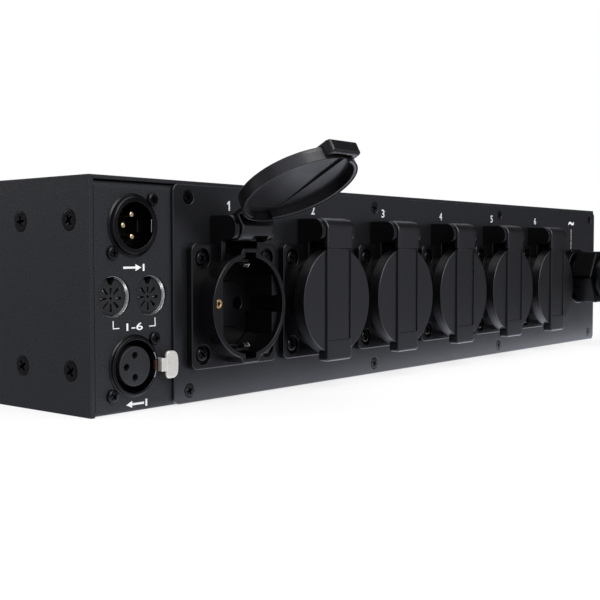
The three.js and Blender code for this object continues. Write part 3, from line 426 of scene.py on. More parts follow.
@dataclass
class Opening:
    """A hole or a pocket in a slab.

    Attributes:
        outline: Its outline at the face.
        floor: Level of a pocket's floor, or None for a hole right through.
        lip: Radius of the rounding at the face.
        taper: How much narrower it is at its lower end.
    """

    outline: Loop
    floor: float | None = None
    lip: float = 0.0
    taper: float = 0.0


ACROSS = Matrix(((0, 0, 1, 0), (0, 1, 0, 0), (1, 0, 0, 0), (0, 0, 0, 1)))
UPRIGHT = Matrix(((1, 0, 0, 0), (0, 0, 1, 0), (0, 1, 0, 0), (0, 0, 0, 1)))
FLIPPED = Matrix.Diagonal((1, 1, -1, 1))


class Shape:
    """A mesh that is being drawn, in millimetres."""

    def __init__(self) -> None:
        """Start empty."""
        self.mesh = bmesh.new()

    def ring(self, loop: Loop, level: float) -> list[bmesh.types.BMVert]:
        """Add the points of an outline at one level."""
        return [self.mesh.verts.new((x, y, level)) for x, y in loop]

    def wall(self, first: list[bmesh.types.BMVert], second: list[bmesh.types.BMVert]) -> None:
        """Join two rings that have the same number of points."""
        for index in range(len(first)):
            near, far = index - 1, index
            self.mesh.faces.new((first[near], first[far], second[far], second[near]))

    def cap(self, *rings: list[bmesh.types.BMVert]) -> None:
        """Fill a ring, leaving out the rings inside it."""
        corners = [vertex for ring in rings for vertex in ring]
        for triangle in tessellate_polygon([[vertex.co for vertex in ring] for ring in rings]):
            self.mesh.faces.new([corners[index] for index in triangle])

    def _turned(self, first: int, matrix: Matrix | None) -> None:
        """Move the vertices that were added since a count."""
        if matrix is not None:
            self.mesh.verts.ensure_lookup_table()
            bmesh.ops.transform(self.mesh, matrix=matrix, verts=self.mesh.verts[first:])

    def slab(self, outline: Loop, low: float, high: float, edge: float = 0.4, foot: float = 0.0,
             openings: tuple[Opening, ...] | list[Opening] = (), place: Matrix | None = None,
             steps: int = 3) -> "Shape":
        """Add a plate with rounded edges, holes and pockets.

        Args:
            outline: Its outline, counter-clockwise.
            low: Level of its back.
            high: Level of its face.
            edge: Radius of the rounding at the face.
            foot: Radius of the rounding at the back.
            openings: Holes and pockets.
            place: Where it goes, if not where it is drawn.
            steps: Steps of each rounding.

        Returns:
            The shape, for the next call.
        """
        first = len(self.mesh.verts)
        turns = [step * pi / 2 / steps for step in range(steps + 1)]
        rings = []
        if foot > 0:
            for turn in reversed(turns[1:]):
                rings.append(self.ring(grown(outline, foot * (cos(turn) - 1)), low + foot * (1 - sin(turn))))
        rings.append(self.ring(outline, low + foot))
        rings.append(self.ring(outline, high - edge))
        if edge > 0:
            for turn in turns[1:]:
                rings.append(self.ring(grown(outline, edge * (cos(turn) - 1)), high - edge * (1 - sin(turn))))
        for lower, upper in zip(rings, rings[1:]):
            self.wall(lower, upper)
        faces, backs = [rings[-1]], [rings[0]]
        for opening in openings:
            lips = []
            if opening.lip > 0:
                for turn in reversed(turns[1:]):
                    lips.append(self.ring(grown(opening.outline, opening.lip * (1 - cos(turn))),
                                          high - opening.lip * (1 - sin(turn))))
            lips.append(self.ring(opening.outline, high - opening.lip))
            end = low if opening.floor is None else opening.floor
            lips.append(self.ring(grown(opening.outline, -opening.taper), end))
            for upper, lower in zip(lips, lips[1:]):
                self.wall(upper, lower)
            faces.append(lips[0])
            if opening.floor is None:
                backs.append(lips[-1])
            else:
                self.cap(lips[-1])
        self.cap(*faces)
        self.cap(*backs)
        self._turned(first, place)
        return self

    def turn(self, profile: Loop, steps: int = 48, place: Matrix | None = None) -> "Shape":
        """Add a profile of radius and level, turned about the axis.

        Args:
            profile: Points from one end to the other; a profile off the axis closes on itself.
            steps: Points round the axis.
            place: Where it goes, if not where it is drawn.

        Returns:
            The shape, for the next call.
        """
        first = len(self.mesh.verts)
        rings = [self.ring(circle(radius, steps), level) if radius > 0 else [self.mesh.verts.new((0, 0, level))]
                 for radius, level in profile]
        pairs = list(zip(rings, rings[1:]))
        if len(rings[0]) > 1 and len(rings[-1]) > 1:
            pairs.append((rings[-1], rings[0]))
        for lower, upper in pairs:
            if len(lower) == len(upper):
                self.wall(lower, upper)
                continue
            pole, ring = (lower[0], upper) if len(lower) == 1 else (upper[0], lower)
            for index in range(len(ring)):
                self.mesh.faces.new((pole, ring[index - 1], ring[index]))
        self._turned(first, place)
        return self

    def data(self, name: str, place: Matrix | None = None) -> bpy.types.Mesh:
        """Close the drawing and give it as a mesh.

        Args:
            name: Name of the mesh.
            place: Where the mesh goes.

        Returns:
            The mesh, its doubles merged and its faces outwards.
        """
        bmesh.ops.remove_doubles(self.mesh, verts=self.mesh.verts, dist=0.0005)
        bmesh.ops.dissolve_degenerate(self.mesh, edges=self.mesh.edges, dist=0.0001)
        bmesh.ops.recalc_face_normals(self.mesh, faces=self.mesh.faces)
        if place is not None:
            self.mesh.transform(place)
        mesh = bpy.data.meshes.new(name)
        self.mesh.to_mesh(mesh)
        self.mesh.free()
        return mesh


@dataclass(frozen=True)
class Wall:
    """One wall of the case, and how a drawing on it is put in place.

    Attributes:
        origin: Where the drawing's origin is, in millimetres.
        across: Direction to the viewer's right.
        up: Direction upwards.
        out: Direction out of the wall.
    """

    origin: tuple[float, float, float]
    across: tuple[float, float, float]
    up: tuple[float, float, float]
    out: tuple[float, float, float]

    def at(self, u: float = 0.0, v: float = 0.0, w: float = 0.0) -> Matrix:
        """Give the matrix that puts a drawing on this wall.

        Args:
            u: How far across its origin goes.
            v: How far up.
            w: How far out.

        Returns:
            The matrix, from millimetres on the wall to metres in the frame.
        """
        axes = Matrix((self.across, self.up, self.out)).transposed().to_4x4()
        start = Matrix.Translation(Vector(self.origin))
        return Matrix.Scale(MM, 4) @ start @ axes @ Matrix.Translation((u, v, w))


@dataclass(frozen=True)
class Case:
    """Sizes of the case that several sub-assemblies share."""

    width: float = 435.0
    depth: float = 330.0
    height: float = 88.0
    sheet: float = 1.5
    bend: float = 3.0
    tray_half: float = 215.4
    tray_top: float = 86.4

    @property
    def rear(self) -> Wall:
        """The wall with the outlets."""
        return Wall((self.width / 2, self.depth / 2, 0), (-1, 0, 0), (0, 0, 1), (0, 1, 0))

    @property
    def front(self) -> Wall:
        """The wall behind the rack panel."""
        return Wall((0, -self.depth / 2, 0), (1, 0, 0), (0, 0, 1), (0, -1, 0))

    @property
    def left(self) -> Wall:
        """The side next to the control connectors."""
        return Wall((self.width / 2, 0, 0), (0, 1, 0), (0, 0, 1), (1, 0, 0))

    @property
    def right(self) -> Wall:
        """The side next to the cable gland."""
        return Wall((-self.width / 2, 0, 0), (0, -1, 0), (0, 0, 1), (-1, 0, 0))

    @property
    def top(self) -> Wall:
        """The cover."""
        return Wall((0, 0, self.height), (1, 0, 0), (0, 1, 0), (0, 0, 1))


def baked(thing: bpy.types.Object) -> bpy.types.Mesh:
    """Turn an object and its modifiers into a plain mesh, and remove the object.

    Args:
        thing: The object.

    Returns:
        The mesh.
    """
    if thing.name not in bpy.context.scene.collection.objects:
        bpy.context.scene.collection.objects.link(thing)
    graph = bpy.context.evaluated_depsgraph_get()
    mesh = bpy.data.meshes.new_from_object(thing.evaluated_get(graph), depsgraph=graph)
    bpy.data.objects.remove(thing)
    return mesh


class Bench:
    """Finishes pieces: gives each its material, shading and body."""

    def __init__(self, palette: Palette) -> None:
        """Keep the palette."""
        self.palette = palette

    def piece(self, name: str, mesh: bpy.types.Mesh, finish: Finishes, body: str = CHASSIS,
              stands_for: tuple[str, ...] = (), crease: float = 34.0) -> bpy.types.Object:
        """Put a finished mesh in the scene.

        Args:
            name: Name of the piece.
            mesh: Its mesh, in place and in metres.
            finish: Its finish.
            body: The body that it moves with.
            stands_for: Nodes of the frame that it replaces.
            crease: Angle in degrees above which an edge stays sharp.

        Returns:
            The object.
        """
        mesh.name = name
        mesh.materials.clear()
        mesh.materials.append(self.palette.material(finish))
        thing = bpy.data.objects.new(name, mesh)
        bpy.context.scene.collection.objects.link(thing)
        mesh.shade_smooth()
        mesh.set_sharp_from_angle(angle=radians(crease))
        shading = thing.modifiers.new("even_faces", "WEIGHTED_NORMAL")
        shading.keep_sharp = True
        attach(thing, body)
        if stands_for:
            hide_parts(*stands_for)
        LOG.info("%s: %d faces on %s", name, len(mesh.polygons), body)
        return thing

    def node(self, name: str, finish: Finishes) -> None:
        """Give a node of the frame its finish."""
        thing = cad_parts[name]
        material = self.palette.material(finish)
        if not thing.material_slots:
            thing.data.materials.append(material)
        for slot in thing.material_slots:
            slot.material = material


# Repeated pieces, made with geometry nodes


class Head(Enum):
    """Kinds of screw head, drawn with a radius of 1."""

    PAN = "pan"
    COUNTERSUNK = "countersunk"


class Repeater:
    """Sets the same small piece on many places with geometry nodes."""

    def __init__(self, palette: Palette) -> None:
        """Build the trees."""
        self.palette = palette
        self.on_points = self._scatter_tree()
        self.round_axis = self._ring_tree()

    @staticmethod
    def _tree(name: str, sockets: dict[str, str]) -> bpy.types.NodeTree:
        """Start a geometry tree with the named inputs.

        Args:
            name: Name of the tree.
            sockets: Inputs and the kind of their sockets.

        Returns:
            The tree, with its input and output nodes.
        """
        tree = bpy.data.node_groups.new(name, "GeometryNodeTree")
        tree.interface.new_socket("Geometry", in_out="INPUT", socket_type="NodeSocketGeometry")
        for label, kind in sockets.items():
            tree.interface.new_socket(label, in_out="INPUT", socket_type=kind)
        tree.interface.new_socket("Geometry", in_out="OUTPUT", socket_type="NodeSocketGeometry")
        tree.nodes.new("NodeGroupInput").name = "In"
        tree.nodes.new("NodeGroupOutput").name = "Out"
        return tree

    @staticmethod
    def _close(tree: bpy.types.NodeTree, place: bpy.types.Node) -> None:
        """Give the instances of a node their piece, make them real and set their material."""
        nodes, links = tree.nodes, tree.links
        source = nodes.new("GeometryNodeObjectInfo")
        links.new(nodes["In"].outputs["Piece"], source.inputs["Object"])
        links.new(source.outputs["Geometry"], place.inputs["Instance"])
        real = nodes.new("GeometryNodeRealizeInstances")
        links.new(place.outputs["Instances"], real.inputs["Geometry"])
        finish = nodes.new("GeometryNodeSetMaterial")
        links.new(real.outputs["Geometry"], finish.inputs["Geometry"])
        links.new(nodes["In"].outputs["Finish"], finish.inputs["Material"])
        links.new(finish.outputs["Geometry"], nodes["Out"].inputs["Geometry"])

    def _scatter_tree(self) -> bpy.types.NodeTree:
        """Pieces on points, each turned by its own angle.

        Returns:
            The tree.
        """
        tree = self._tree("pieces_on_points", {
            "Piece": "NodeSocketObject", "Radius": "NodeSocketFloat",
            "Seed": "NodeSocketInt", "Finish": "NodeSocketMaterial",
        })
        nodes, links = tree.nodes, tree.links
        points = nodes.new("GeometryNodeMeshToPoints")
        links.new(nodes["In"].outputs["Geometry"], points.inputs["Mesh"])
        spin = nodes.new("FunctionNodeRandomValue")
        spin.data_type = "FLOAT"
        low, high = [socket for socket in spin.inputs if socket.type == "VALUE"][:2]
        low.default_value, high.default_value = 0.0, pi
        links.new(nodes["In"].outputs["Seed"], spin.inputs["Seed"])
        angles = nodes.new("ShaderNodeCombineXYZ")
        value = next(socket for socket in spin.outputs if socket.type == "VALUE" and socket.enabled)
        links.new(value, angles.inputs["Z"])
        place = nodes.new("GeometryNodeInstanceOnPoints")
        links.new(points.outputs["Points"], place.inputs["Points"])
        links.new(angles.outputs["Vector"], place.inputs["Rotation"])
        links.new(nodes["In"].outputs["Radius"], place.inputs["Scale"])
        self._close(tree, place)
        return tree

    def _ring_tree(self) -> bpy.types.NodeTree:
        """Pieces evenly round an axis, each turned with its place.

        Returns:
            The tree.
        """
        tree = self._tree("pieces_round_axis", {
            "Piece": "NodeSocketObject", "Count": "NodeSocketInt",
            "Radius": "NodeSocketFloat", "Finish": "NodeSocketMaterial",
        })
        nodes, links = tree.nodes, tree.links
        round_it = nodes.new("GeometryNodeMeshCircle")
        links.new(nodes["In"].outputs["Count"], round_it.inputs["Vertices"])
        links.new(nodes["In"].outputs["Radius"], round_it.inputs["Radius"])
        points = nodes.new("GeometryNodeMeshToPoints")
        links.new(round_it.outputs["Mesh"], points.inputs["Mesh"])
        index = nodes.new("GeometryNodeInputIndex")
        share = nodes.new("ShaderNodeMath")
        share.operation = "DIVIDE"
        links.new(index.outputs[0], share.inputs[0])
        links.new(nodes["In"].outputs["Count"], share.inputs[1])
        turn = nodes.new("ShaderNodeMath")
        turn.operation = "MULTIPLY"
        turn.inputs[1].default_value = 2 * pi
        links.new(share.outputs[0], turn.inputs[0])
        angles = nodes.new("ShaderNodeCombineXYZ")
        links.new(turn.outputs[0], angles.inputs["Z"])
        place = nodes.new("GeometryNodeInstanceOnPoints")
        links.new(points.outputs["Points"], place.inputs["Points"])
        links.new(angles.outputs["Vector"], place.inputs["Rotation"])
        self._close(tree, place)
        return tree

    def _run(self, tree: bpy.types.NodeTree, base: bpy.types.Mesh, unit: bpy.types.Mesh,
             finish: Finishes, values: dict[str, float | int]) -> bpy.types.Mesh:
        """Run a tree and give its result as a plain mesh.

        Args:
            tree: The tree.
            base: The mesh that carries the modifier.
            unit: The piece that is repeated.
            finish: Its finish.
            values: The tree's other inputs by name.

        Returns:
            The mesh, in millimetres.
        """
        source = bpy.data.objects.new("unit_piece", unit)
        bpy.context.scene.collection.objects.link(source)
        carrier = bpy.data.objects.new("carrier", base)
        modifier = carrier.modifiers.new("repeat", "NODES")
        modifier.node_group = tree
        settings = {**values, "Piece": source, "Finish": self.palette.material(finish)}
        for item in tree.interface.items_tree:
            if item.in_out == "INPUT" and item.name in settings:
                modifier[item.identifier] = settings[item.name]
        mesh = baked(carrier)
        bpy.data.objects.remove(source)
        return mesh

    def heads(self, kind: Head, radius: float, places: list[tuple[float, float, float]],
              seed: int) -> bpy.types.Mesh:
        """Make screw heads.

        Args:
            kind: The kind of head.
            radius: Its radius.
            places: Where each head's seat or face is: across, up and out.
            seed: Seed of the angles that the crosses stand at.

        Returns:
            One mesh with all the heads, in millimetres.
        """
        points = bpy.data.meshes.new("places")
        points.from_pydata(places, [], [])
        values = {"Radius": radius, "Seed": seed}
        return self._run(self.on_points, points, self._head(kind), Finishes.SCREW, values)

    def ring(self, unit: bpy.types.Mesh, count: int, radius: float, finish: Finishes) -> bpy.types.Mesh:
        """Set a piece evenly round an axis.

        Args:
            unit: The piece, drawn as at the first place, pointing along its radius.
            count: How many.
            radius: How far from the axis.
            finish: Their finish.

        Returns:
            One mesh with all of them, in millimetres.
        """
        base = bpy.data.meshes.new("axis")
        values = {"Count": count, "Radius": radius}
        return self._run(self.round_axis, base, unit, finish, values)

    @staticmethod
    def _head(kind: Head) -> bpy.types.Mesh:
        """Draw a head of radius 1 with a cross recess."""
        arm, reach = 0.13, 0.56
        cross = soften([(arm, arm), (arm, reach), (-arm, reach), (-arm, arm), (-reach, arm), (-reach, -arm),
                        (-arm, -arm), (-arm, -reach), (arm, -reach), (arm, -arm), (reach, -arm), (reach, arm)],
                       [0.08, 0.04, 0.04] * 4, 2)
        shape = Shape()
        if kind is Head.PAN:
            recess = Opening(cross, floor=0.16, lip=0.02, taper=0.06)
            shape.slab(circle(1.0, 28), 0.0, 0.62, edge=0.4, openings=[recess], steps=4)
        else:
            recess = Opening(cross, floor=-0.42, lip=0.02, taper=0.06)
            shape.slab(circle(0.97, 32), -0.08, 0.0, edge=0.05, openings=[Opening(cross, lip=0.02)], steps=2)
            lower = Opening(cross, floor=-0.44, taper=0.05)
            shape.slab(circle(0.9, 32), -0.5, -0.081, edge=0.0, openings=[lower])
        return shape.data("head")


# The case


@dataclass
class SheetMetal:
    """Tray, cover, side panels, rack panel and the plate behind the outlets."""

    case: Case
    bench: Bench
    repeater: Repeater
    side_screw: float = 4.0
    side_seat: float = 4.2
    side_insets: tuple[float, ...] = (11.8, 41.3)
    side_levels: tuple[float, ...] = (16.4, 71.7)
    plate_screw: float = 2.75
    plate_seat: float = 2.9
    plate_columns: tuple[float, ...] = (47.7, 173.367, 299.033, 424.7)
    plate_rows: tuple[float, ...] = (5.5, 81.5)
    vent_width: float = 4.0
    vent_length: float = 44.0
    vent_pitch: float = 14.0
    well_hole: float = 22.0
    well_level: float = 38.5
    gland_hole: float = 12.3
    gland_place: Point = (396.3, 43.9)
    hatch_middle: float = 70
    hatch_half: float = 39
    hatch_rows: tuple[float, float] = (18, 70)
    rack_slots: float = 232.55
    rack_rows: tuple[float, float] = (5.9, 82.1)
    slot_half: float = 5
    slot_rise: float = 3.4
    slot_corner: float = 3.35
    button_hole: float = 4.8
    button_level: float = 27
    button_columns: tuple[float, ...] = (68, 86, 104, 122)
    outlet_columns: tuple[float, ...] = tuple(71.3 + 55 * index for index in range(6))

    def vents(self, count: int, start: float, level: float) -> list[Opening]:
        """Draw a row of upright vent slots.

        Args:
            count: How many.
            start: Middle of the first slot, across.
            level: Middle of the row, up.

        Returns:
            The slots.
        """
        half, reach = self.vent_width / 2, self.vent_length / 2
        return [Opening(rectangle(middle - half, middle + half, level - reach, level + reach, half * 0.98, 5), lip=0.2)
                for middle in (start + index * self.vent_pitch for index in range(count))]

    def tray(self) -> None:
        """Fold the tray out of one sheet, with bends at the front and the rear."""
        half, top, rise = self.case.depth / 2, self.case.tray_top, self.case.bend
        side = self.case.tray_half
        line = soften([(half - 12, top), (half, top), (half, 0), (-half, 0), (-half, top), (12 - half, top)],
                      rise, 6, closed=False)
        shape = Shape()
        columns = [[shape.mesh.verts.new((x, y, z)) for y, z in line] for x in (side, -side)]
        for index in range(len(line) - 1):
            corners = [columns[0][index], columns[0][index + 1], columns[1][index + 1], columns[1][index]]
            (y0, z0), (y1, z1) = line[index], line[index + 1]
            if abs(y0 - y1) > 0.01 or abs(z0 - z1) < 10:
                shape.mesh.faces.new(corners)
                continue
            loops = self.rear_holes() if y0 > 0 else self.front_holes()
            rings = [[shape.mesh.verts.new((x, y0, z)) for x, z in loop] for loop in loops]
            shape.cap(corners, *rings)
        mesh = shape.data("tray")
        floor = min(mesh.polygons, key=lambda face: face.center.z)
        if floor.normal.z > 0:
            mesh.flip_normals()
        fold = bpy.data.objects.new("fold", mesh)
        thick = fold.modifiers.new("sheet", "SOLIDIFY")
        thick.thickness = self.case.sheet
        thick.offset = -1
        thick.use_even_offset = True
        sheet = baked(fold)
        walls = Shape()
        for direction in (-1, 1):
            middle = direction * self.hatch_middle
            hatch = [Opening(rectangle(middle - self.hatch_half, middle + self.hatch_half, *self.hatch_rows, 1))]
            wall = self.case.left if direction < 0 else self.case.right
            place = Matrix.Scale(1 / MM, 4) @ wall.at(0, 0, side - self.case.width / 2)
            walls.slab(rectangle(3 - half, half - 3, 0.8, top - 1.6), -1.5, 0, edge=0, openings=hatch, place=place)
        joined = bmesh.new()
        joined.from_mesh(sheet)
        bits = walls.data("walls")
        joined.from_mesh(bits)
        joined.transform(Matrix.Scale(MM, 4))
        joined.to_mesh(sheet)
        joined.free()
        self.bench.piece("case_tray", sheet, Finishes.POWDER_COAT, stands_for=("base_tray",))

    def rear_holes(self) -> list[Loop]:
        """Holes in the tray's rear wall, across and up in the frame."""
        half = self.case.width / 2
        holes = [rectangle(half - 427, half - 47.4, 12.7, 64.3, 1)]
        holes += [circle(11.5, 40, (half - 20.2, level)) for level in (70, 17.4)]
        holes += [circle(7.75, 36, (half - across, 43.65)) for across in (11.2, 29.3)]
        return holes

    def front_holes(self) -> list[Loop]:
        """Holes in the tray's front wall, across and up in the frame."""
        return [rectangle(-159.3, -50.7, 4.7, 83.0), rectangle(28, 162, 9, 79)]

    def panels(self) -> None:
        """Cut the cover, the two sides and the rack panel."""
        half, height = self.case.depth / 2, self.case.height
        sides = ((self.case.left, "side_panel_left", 1), (self.case.right, "side_panel_right", -1))
        for wall, node, direction in sides:
            along = [sign * (half - inset) for sign in (-1, 1) for inset in self.side_insets]
            seats = [Opening(circle(self.side_seat, 40, (u, v)), taper=2.0, lip=0.12)
                     for u in along for v in self.side_levels]
            vents = self.vents(6, -105 if direction > 0 else 35, height / 2)
            shape = Shape().slab(rectangle(-half, half, 0, height, 0.3, 2), -2, 0, edge=0.35, foot=0.2,
                                 openings=seats + vents)
            self.bench.piece(node.replace("side_panel", "side"), shape.data(node, wall.at()),
                             Finishes.POWDER_COAT, stands_for=(node,))
            heads = self.repeater.heads(Head.COUNTERSUNK, self.side_screw,
                                        [(u, v, -0.12) for u in along for v in self.side_levels], 3 + direction)
            heads.transform(wall.at())
            self.bench.piece(f"screws_{node}", heads, Finishes.SCREW)
        across = self.case.tray_half
        cover = Shape().slab(rectangle(-across, across, -half, half, 0.4, 2), -1.5, 0, edge=0.35, foot=0.2,
                             openings=self.vents(8, -49, 0))
        self.bench.piece("cover", cover.data("cover", self.case.top.at()), Finishes.POWDER_COAT,
                         stands_for=("top_cover",))

    def outlet_plate(self) -> None:
        """Cut the plate that carries the outlets and the gland."""
        seats = [(u, v) for u in self.plate_columns for v in self.plate_rows]
        openings = [Opening(circle(self.plate_seat, 32, seat), taper=1.3, lip=0.1) for seat in seats]
        openings += [Opening(circle(self.well_hole, 64, (u, self.well_level))) for u in self.outlet_columns]
        openings.append(Opening(circle(self.gland_hole, 48, self.gland_place)))
        shape = Shape().slab(rectangle(39.4, 433, 0.5, 86.5, 3, 6), 0.1, 1.6, edge=0.4, openings=openings)
        self.bench.piece("plate", shape.data("plate", self.case.rear.at()), Finishes.PLATE,
                         stands_for=("outlet_plate",))
        heads = self.repeater.heads(Head.COUNTERSUNK, self.plate_screw, [(u, v, 1.55) for u, v in seats], 11)
        heads.transform(self.case.rear.at())
        self.bench.piece("screws_plate", heads, Finishes.SCREW)

    def rack_panel(self) -> None:
        """Cut the rack panel with its slots and windows."""
        slots = [Opening(rectangle(x - self.slot_half, x + self.slot_half, z - self.slot_rise, z + self.slot_rise,
                                   self.slot_corner, 8), lip=0.2)
                 for x in (-self.rack_slots, self.rack_slots) for z in self.rack_rows]
        windows = [Opening(rectangle(-159.05, -50.95, 21.2, 66.8, 0.5), lip=0.2),
                   Opening(rectangle(64.7, 125.3, 44.7, 67.3, 0.5), lip=0.2)]
        buttons = [Opening(circle(self.button_hole, 40, (x, self.button_level)), lip=0.2)
                   for x in self.button_columns]
        shape = Shape().slab(rectangle(-241.3, 241.3, 0, 88, 1.5, 4), 0.1, 3.1, edge=0.5, foot=0.3,
                             openings=slots + windows + buttons)
        self.bench.piece("rack_panel", shape.data("rack_panel", self.case.front.at()), Finishes.POWDER_COAT,
                         stands_for=("front_panel",))

    def build(self) -> None:
        """Make all of it."""
        self.tray()
        self.panels()
        self.outlet_plate()
        self.rack_panel()


# The outlets


@dataclass
class Outlet:
    """One outlet: square housing, contact block, earth contacts, hinge hood and flap lid.

    Lengths out of the wall are measured from the rear wall.
    """

    number: int
    across: float
    case: Case
    bench: Bench
    repeater: Repeater
    height: float = 38.5
    flange: float = 25.0
    flange_back: float = 1.7
    flange_front: float = 4.7
    screw_reach: float = 19.0
    counterbore: float = 4.0
    collar: float = 21.7
    well: float = 19.6
    rim: float = 13.1
    floor: float = -4.4
    key_half: float = 3.2
    key_reach: float = 21.4
    key_wall: float = 1.8
    hinge_up: float = 31.3
    hinge_out: float = 10.8
    cheek: float = 5.0
    hood_inside: float = 9.4
    hood_wall: float = 2.35
    rib_inside: float = 15.0
    rib_gap: float = 3.5
    eye_gap: float = 0.05
    eye_up: float = 1.3
    pole_reach: float = 9.5
    pole: float = 2.6
    lid: float = 23.8
    lid_face: float = 15.2
    lid_back: float = 13.4
    skirt_end: float = 10.0
    band_half: float = 8.6
    band_face: float = 16.2
    barrel: float = 5.2
    open_angle: float = 118.0

    @property
    def place(self) -> Matrix:
        """Where a drawing round the outlet's axis goes."""
        return self.case.rear.at(self.across, self.height, 0)

    @property
    def hinge(self) -> Matrix:
        """Where a drawing round the hinge goes, with the first lid thrown open."""
        turn = -radians(self.open_angle) if self.number == 1 else 0.0
        axis = self.case.rear.at(self.across, self.height + self.hinge_up, self.hinge_out)
        return axis @ Matrix.Rotation(turn, 4, "X")

    def housing(self) -> None:
        """Mould the flange, the collar with its keys, and the hood."""
        shape = Shape()
        bores = [Opening(circle(self.counterbore, 36, (u * self.screw_reach, v * self.screw_reach)), floor=3.0,
                         lip=0.15) for u in (-1, 1) for v in (-1, 1)]
        hole = Opening(circle(self.collar - 0.3, 72))
        side, dip = self.flange, 10.3
        outline = soften([(-side, -side), (side, -side), (side, side), (dip, side), (dip, 21.9), (-dip, 21.9),
                          (-dip, side), (-side, side)], [3, 3, 3, 0.3, 0.3, 0.3, 0.3, 3], 6)
        shape.slab(outline, self.flange_back, self.flange_front, edge=0.55, openings=[hole, *bores])
        ramp = [(self.flange_front - 0.1, 21.5), (self.flange_front - 0.1, 22.2), (2.2, 28.5), (1.7, 28.5), (1.7, 21.5)]
        shape.slab(ramp, -dip - 0.1, dip + 0.1, edge=0, place=ACROSS)
        inner = Opening(keyed_circle(self.well, self.key_half, self.key_reach, 0.0, 0.25), lip=0.4)
        outer = keyed_circle(self.collar, self.key_half + 1.3, self.key_reach + self.key_wall, 1.2, 0.7)
        shape.slab(outer, self.flange_front - 0.2, self.rim, edge=0.5, openings=[inner])
        tail = [(self.well, -7.0), (self.collar, -7.0), (self.collar, self.flange_front - 0.1),
                (self.well, self.flange_front - 0.1)]
        shape.turn(tail, 72)
        top, low = self.hinge_up + self.cheek, self.hinge_up - self.cheek
        cheek = soften([(self.flange_back, 24), (self.flange_back + 1.5, 18), (self.flange_front + 3.3, 18),
                        (self.flange_front + 3.3, low), (self.hinge_out + self.cheek, low),
                        (self.hinge_out + self.cheek, top), (self.flange_back, top)],
                       [0.0, 0.0, 0.8, 1.0, self.cheek, self.cheek, 0.6], 8)
        for start in (self.hood_inside, -self.hood_inside - self.hood_wall):
            shape.slab(cheek, start, start + self.hood_wall, edge=0.25, foot=0.25, place=ACROSS)
        inside = self.hood_inside + 1
        shape.slab(rectangle(-inside, inside, 28, top, 0.3, 2), self.flange_back, 4.3, edge=0.3)
        self.bench.piece(f"housing_{self.number}", shape.data("housing", self.place), Finishes.HOUSING,
                         stands_for=(f"outlet_housing_{self.number}",))
        reach = self.screw_reach
        heads = self.repeater.heads(Head.PAN, 3.0, [(u * reach, v * reach, 2.7) for u in (-1, 1) for v in (-1, 1)],
                                    20 + self.number)
        heads.transform(self.place)
        self.bench.piece(f"screws_housing_{self.number}", heads, Finishes.SCREW)

    def contacts(self) -> None:
        """Mould the contact block and bend the earth contacts."""
        radius = self.well - 0.3
        shape = Shape()
        poles = [Opening(circle(self.pole, 32, (u, 0)), floor=self.floor - 13, lip=0.35)
                 for u in (-self.pole_reach, self.pole_reach)]
        field_level = self.floor + 0.9
        shape.slab(circle(radius, 64), -9.9, self.floor, edge=0,
                   openings=[Opening(grown(pole.outline, 0.6)) for pole in poles])
        shape.slab(soften([(-14.6, -4), (-9, -9.6), (9, -9.6), (14.6, -4), (14.6, 4), (9, 9.6), (-9, 9.6), (-14.6, 4)],
                          0.8, 3), self.floor - 14, field_level, edge=0.4, openings=poles)
        end = sqrt(radius ** 2 - self.rib_inside ** 2)
        last = atan2(end, self.rib_inside) * 180 / pi
        for across, gap, top in ((-1, self.eye_gap, self.rim - 1.2), (1, self.rib_gap, self.rim - 2)):
            corner = [(self.rib_inside, gap)] + arc(radius, asin(gap / radius) * 180 / pi, last, 10)
            for up in (-1, 1):
                loop = [(across * u, up * v) for u, v in corner]
                loop = loop if across * up > 0 else loop[::-1]
                shape.slab(loop, self.floor - 0.5, top, edge=0.2)
        for up in (-1, 1):
            loop = [(-4, up * 17.4), (4, up * 17.4), (4, up * 18.8), (-4, up * 18.8)]
            shape.slab(loop if up > 0 else loop[::-1], self.floor - 0.5, 8.1, edge=0.2)
        shape.slab(circle(self.collar, 48), -9.9, -7.3, edge=0, openings=[Opening(circle(radius - 0.2, 48))])
        shape.slab(rectangle(-15, 15, -12, 12, 1), -26, -9.8, edge=0)
        self.bench.piece(f"contact_block_{self.number}", shape.data("block", self.place), Finishes.WELL,
                         stands_for=(f"outlet_contact_block_{self.number}",))
        clips = Shape()
        strip = [(-4.0, 17.3), (6.9, 17.3), (8.9, 15.6), (10.5, 16.9), (10.7, 16.5), (9.0, 14.9), (6.6, 16.8),
                 (-4.0, 16.8)]
        strip = soften(strip, [0, 1.5, 1.0, 0.1, 0.1, 1.0, 1.5, 0], 4)
        for up in (-1, 1):
            loop = [(w, up * v) for w, v in strip]
            clips.slab(loop if up > 0 else loop[::-1], -1.7, 1.7, edge=0.12, foot=0.12, place=ACROSS)
        self.bench.piece(f"earth_contacts_{self.number}", clips.data("clips", self.place), Finishes.STEEL)
        eyelet = Shape().turn(soften([(0.85, 4.0), (1.85, 4.0), (1.85, 12.2), (0.85, 12.2)], [0, 0, 0.45, 0.3], 4), 32)
        self.bench.piece(f"eyelet_{self.number}",
                         eyelet.data("eyelet", self.place @ Matrix.Translation((-17.5, self.eye_up, 0))),
                         Finishes.BRASS)

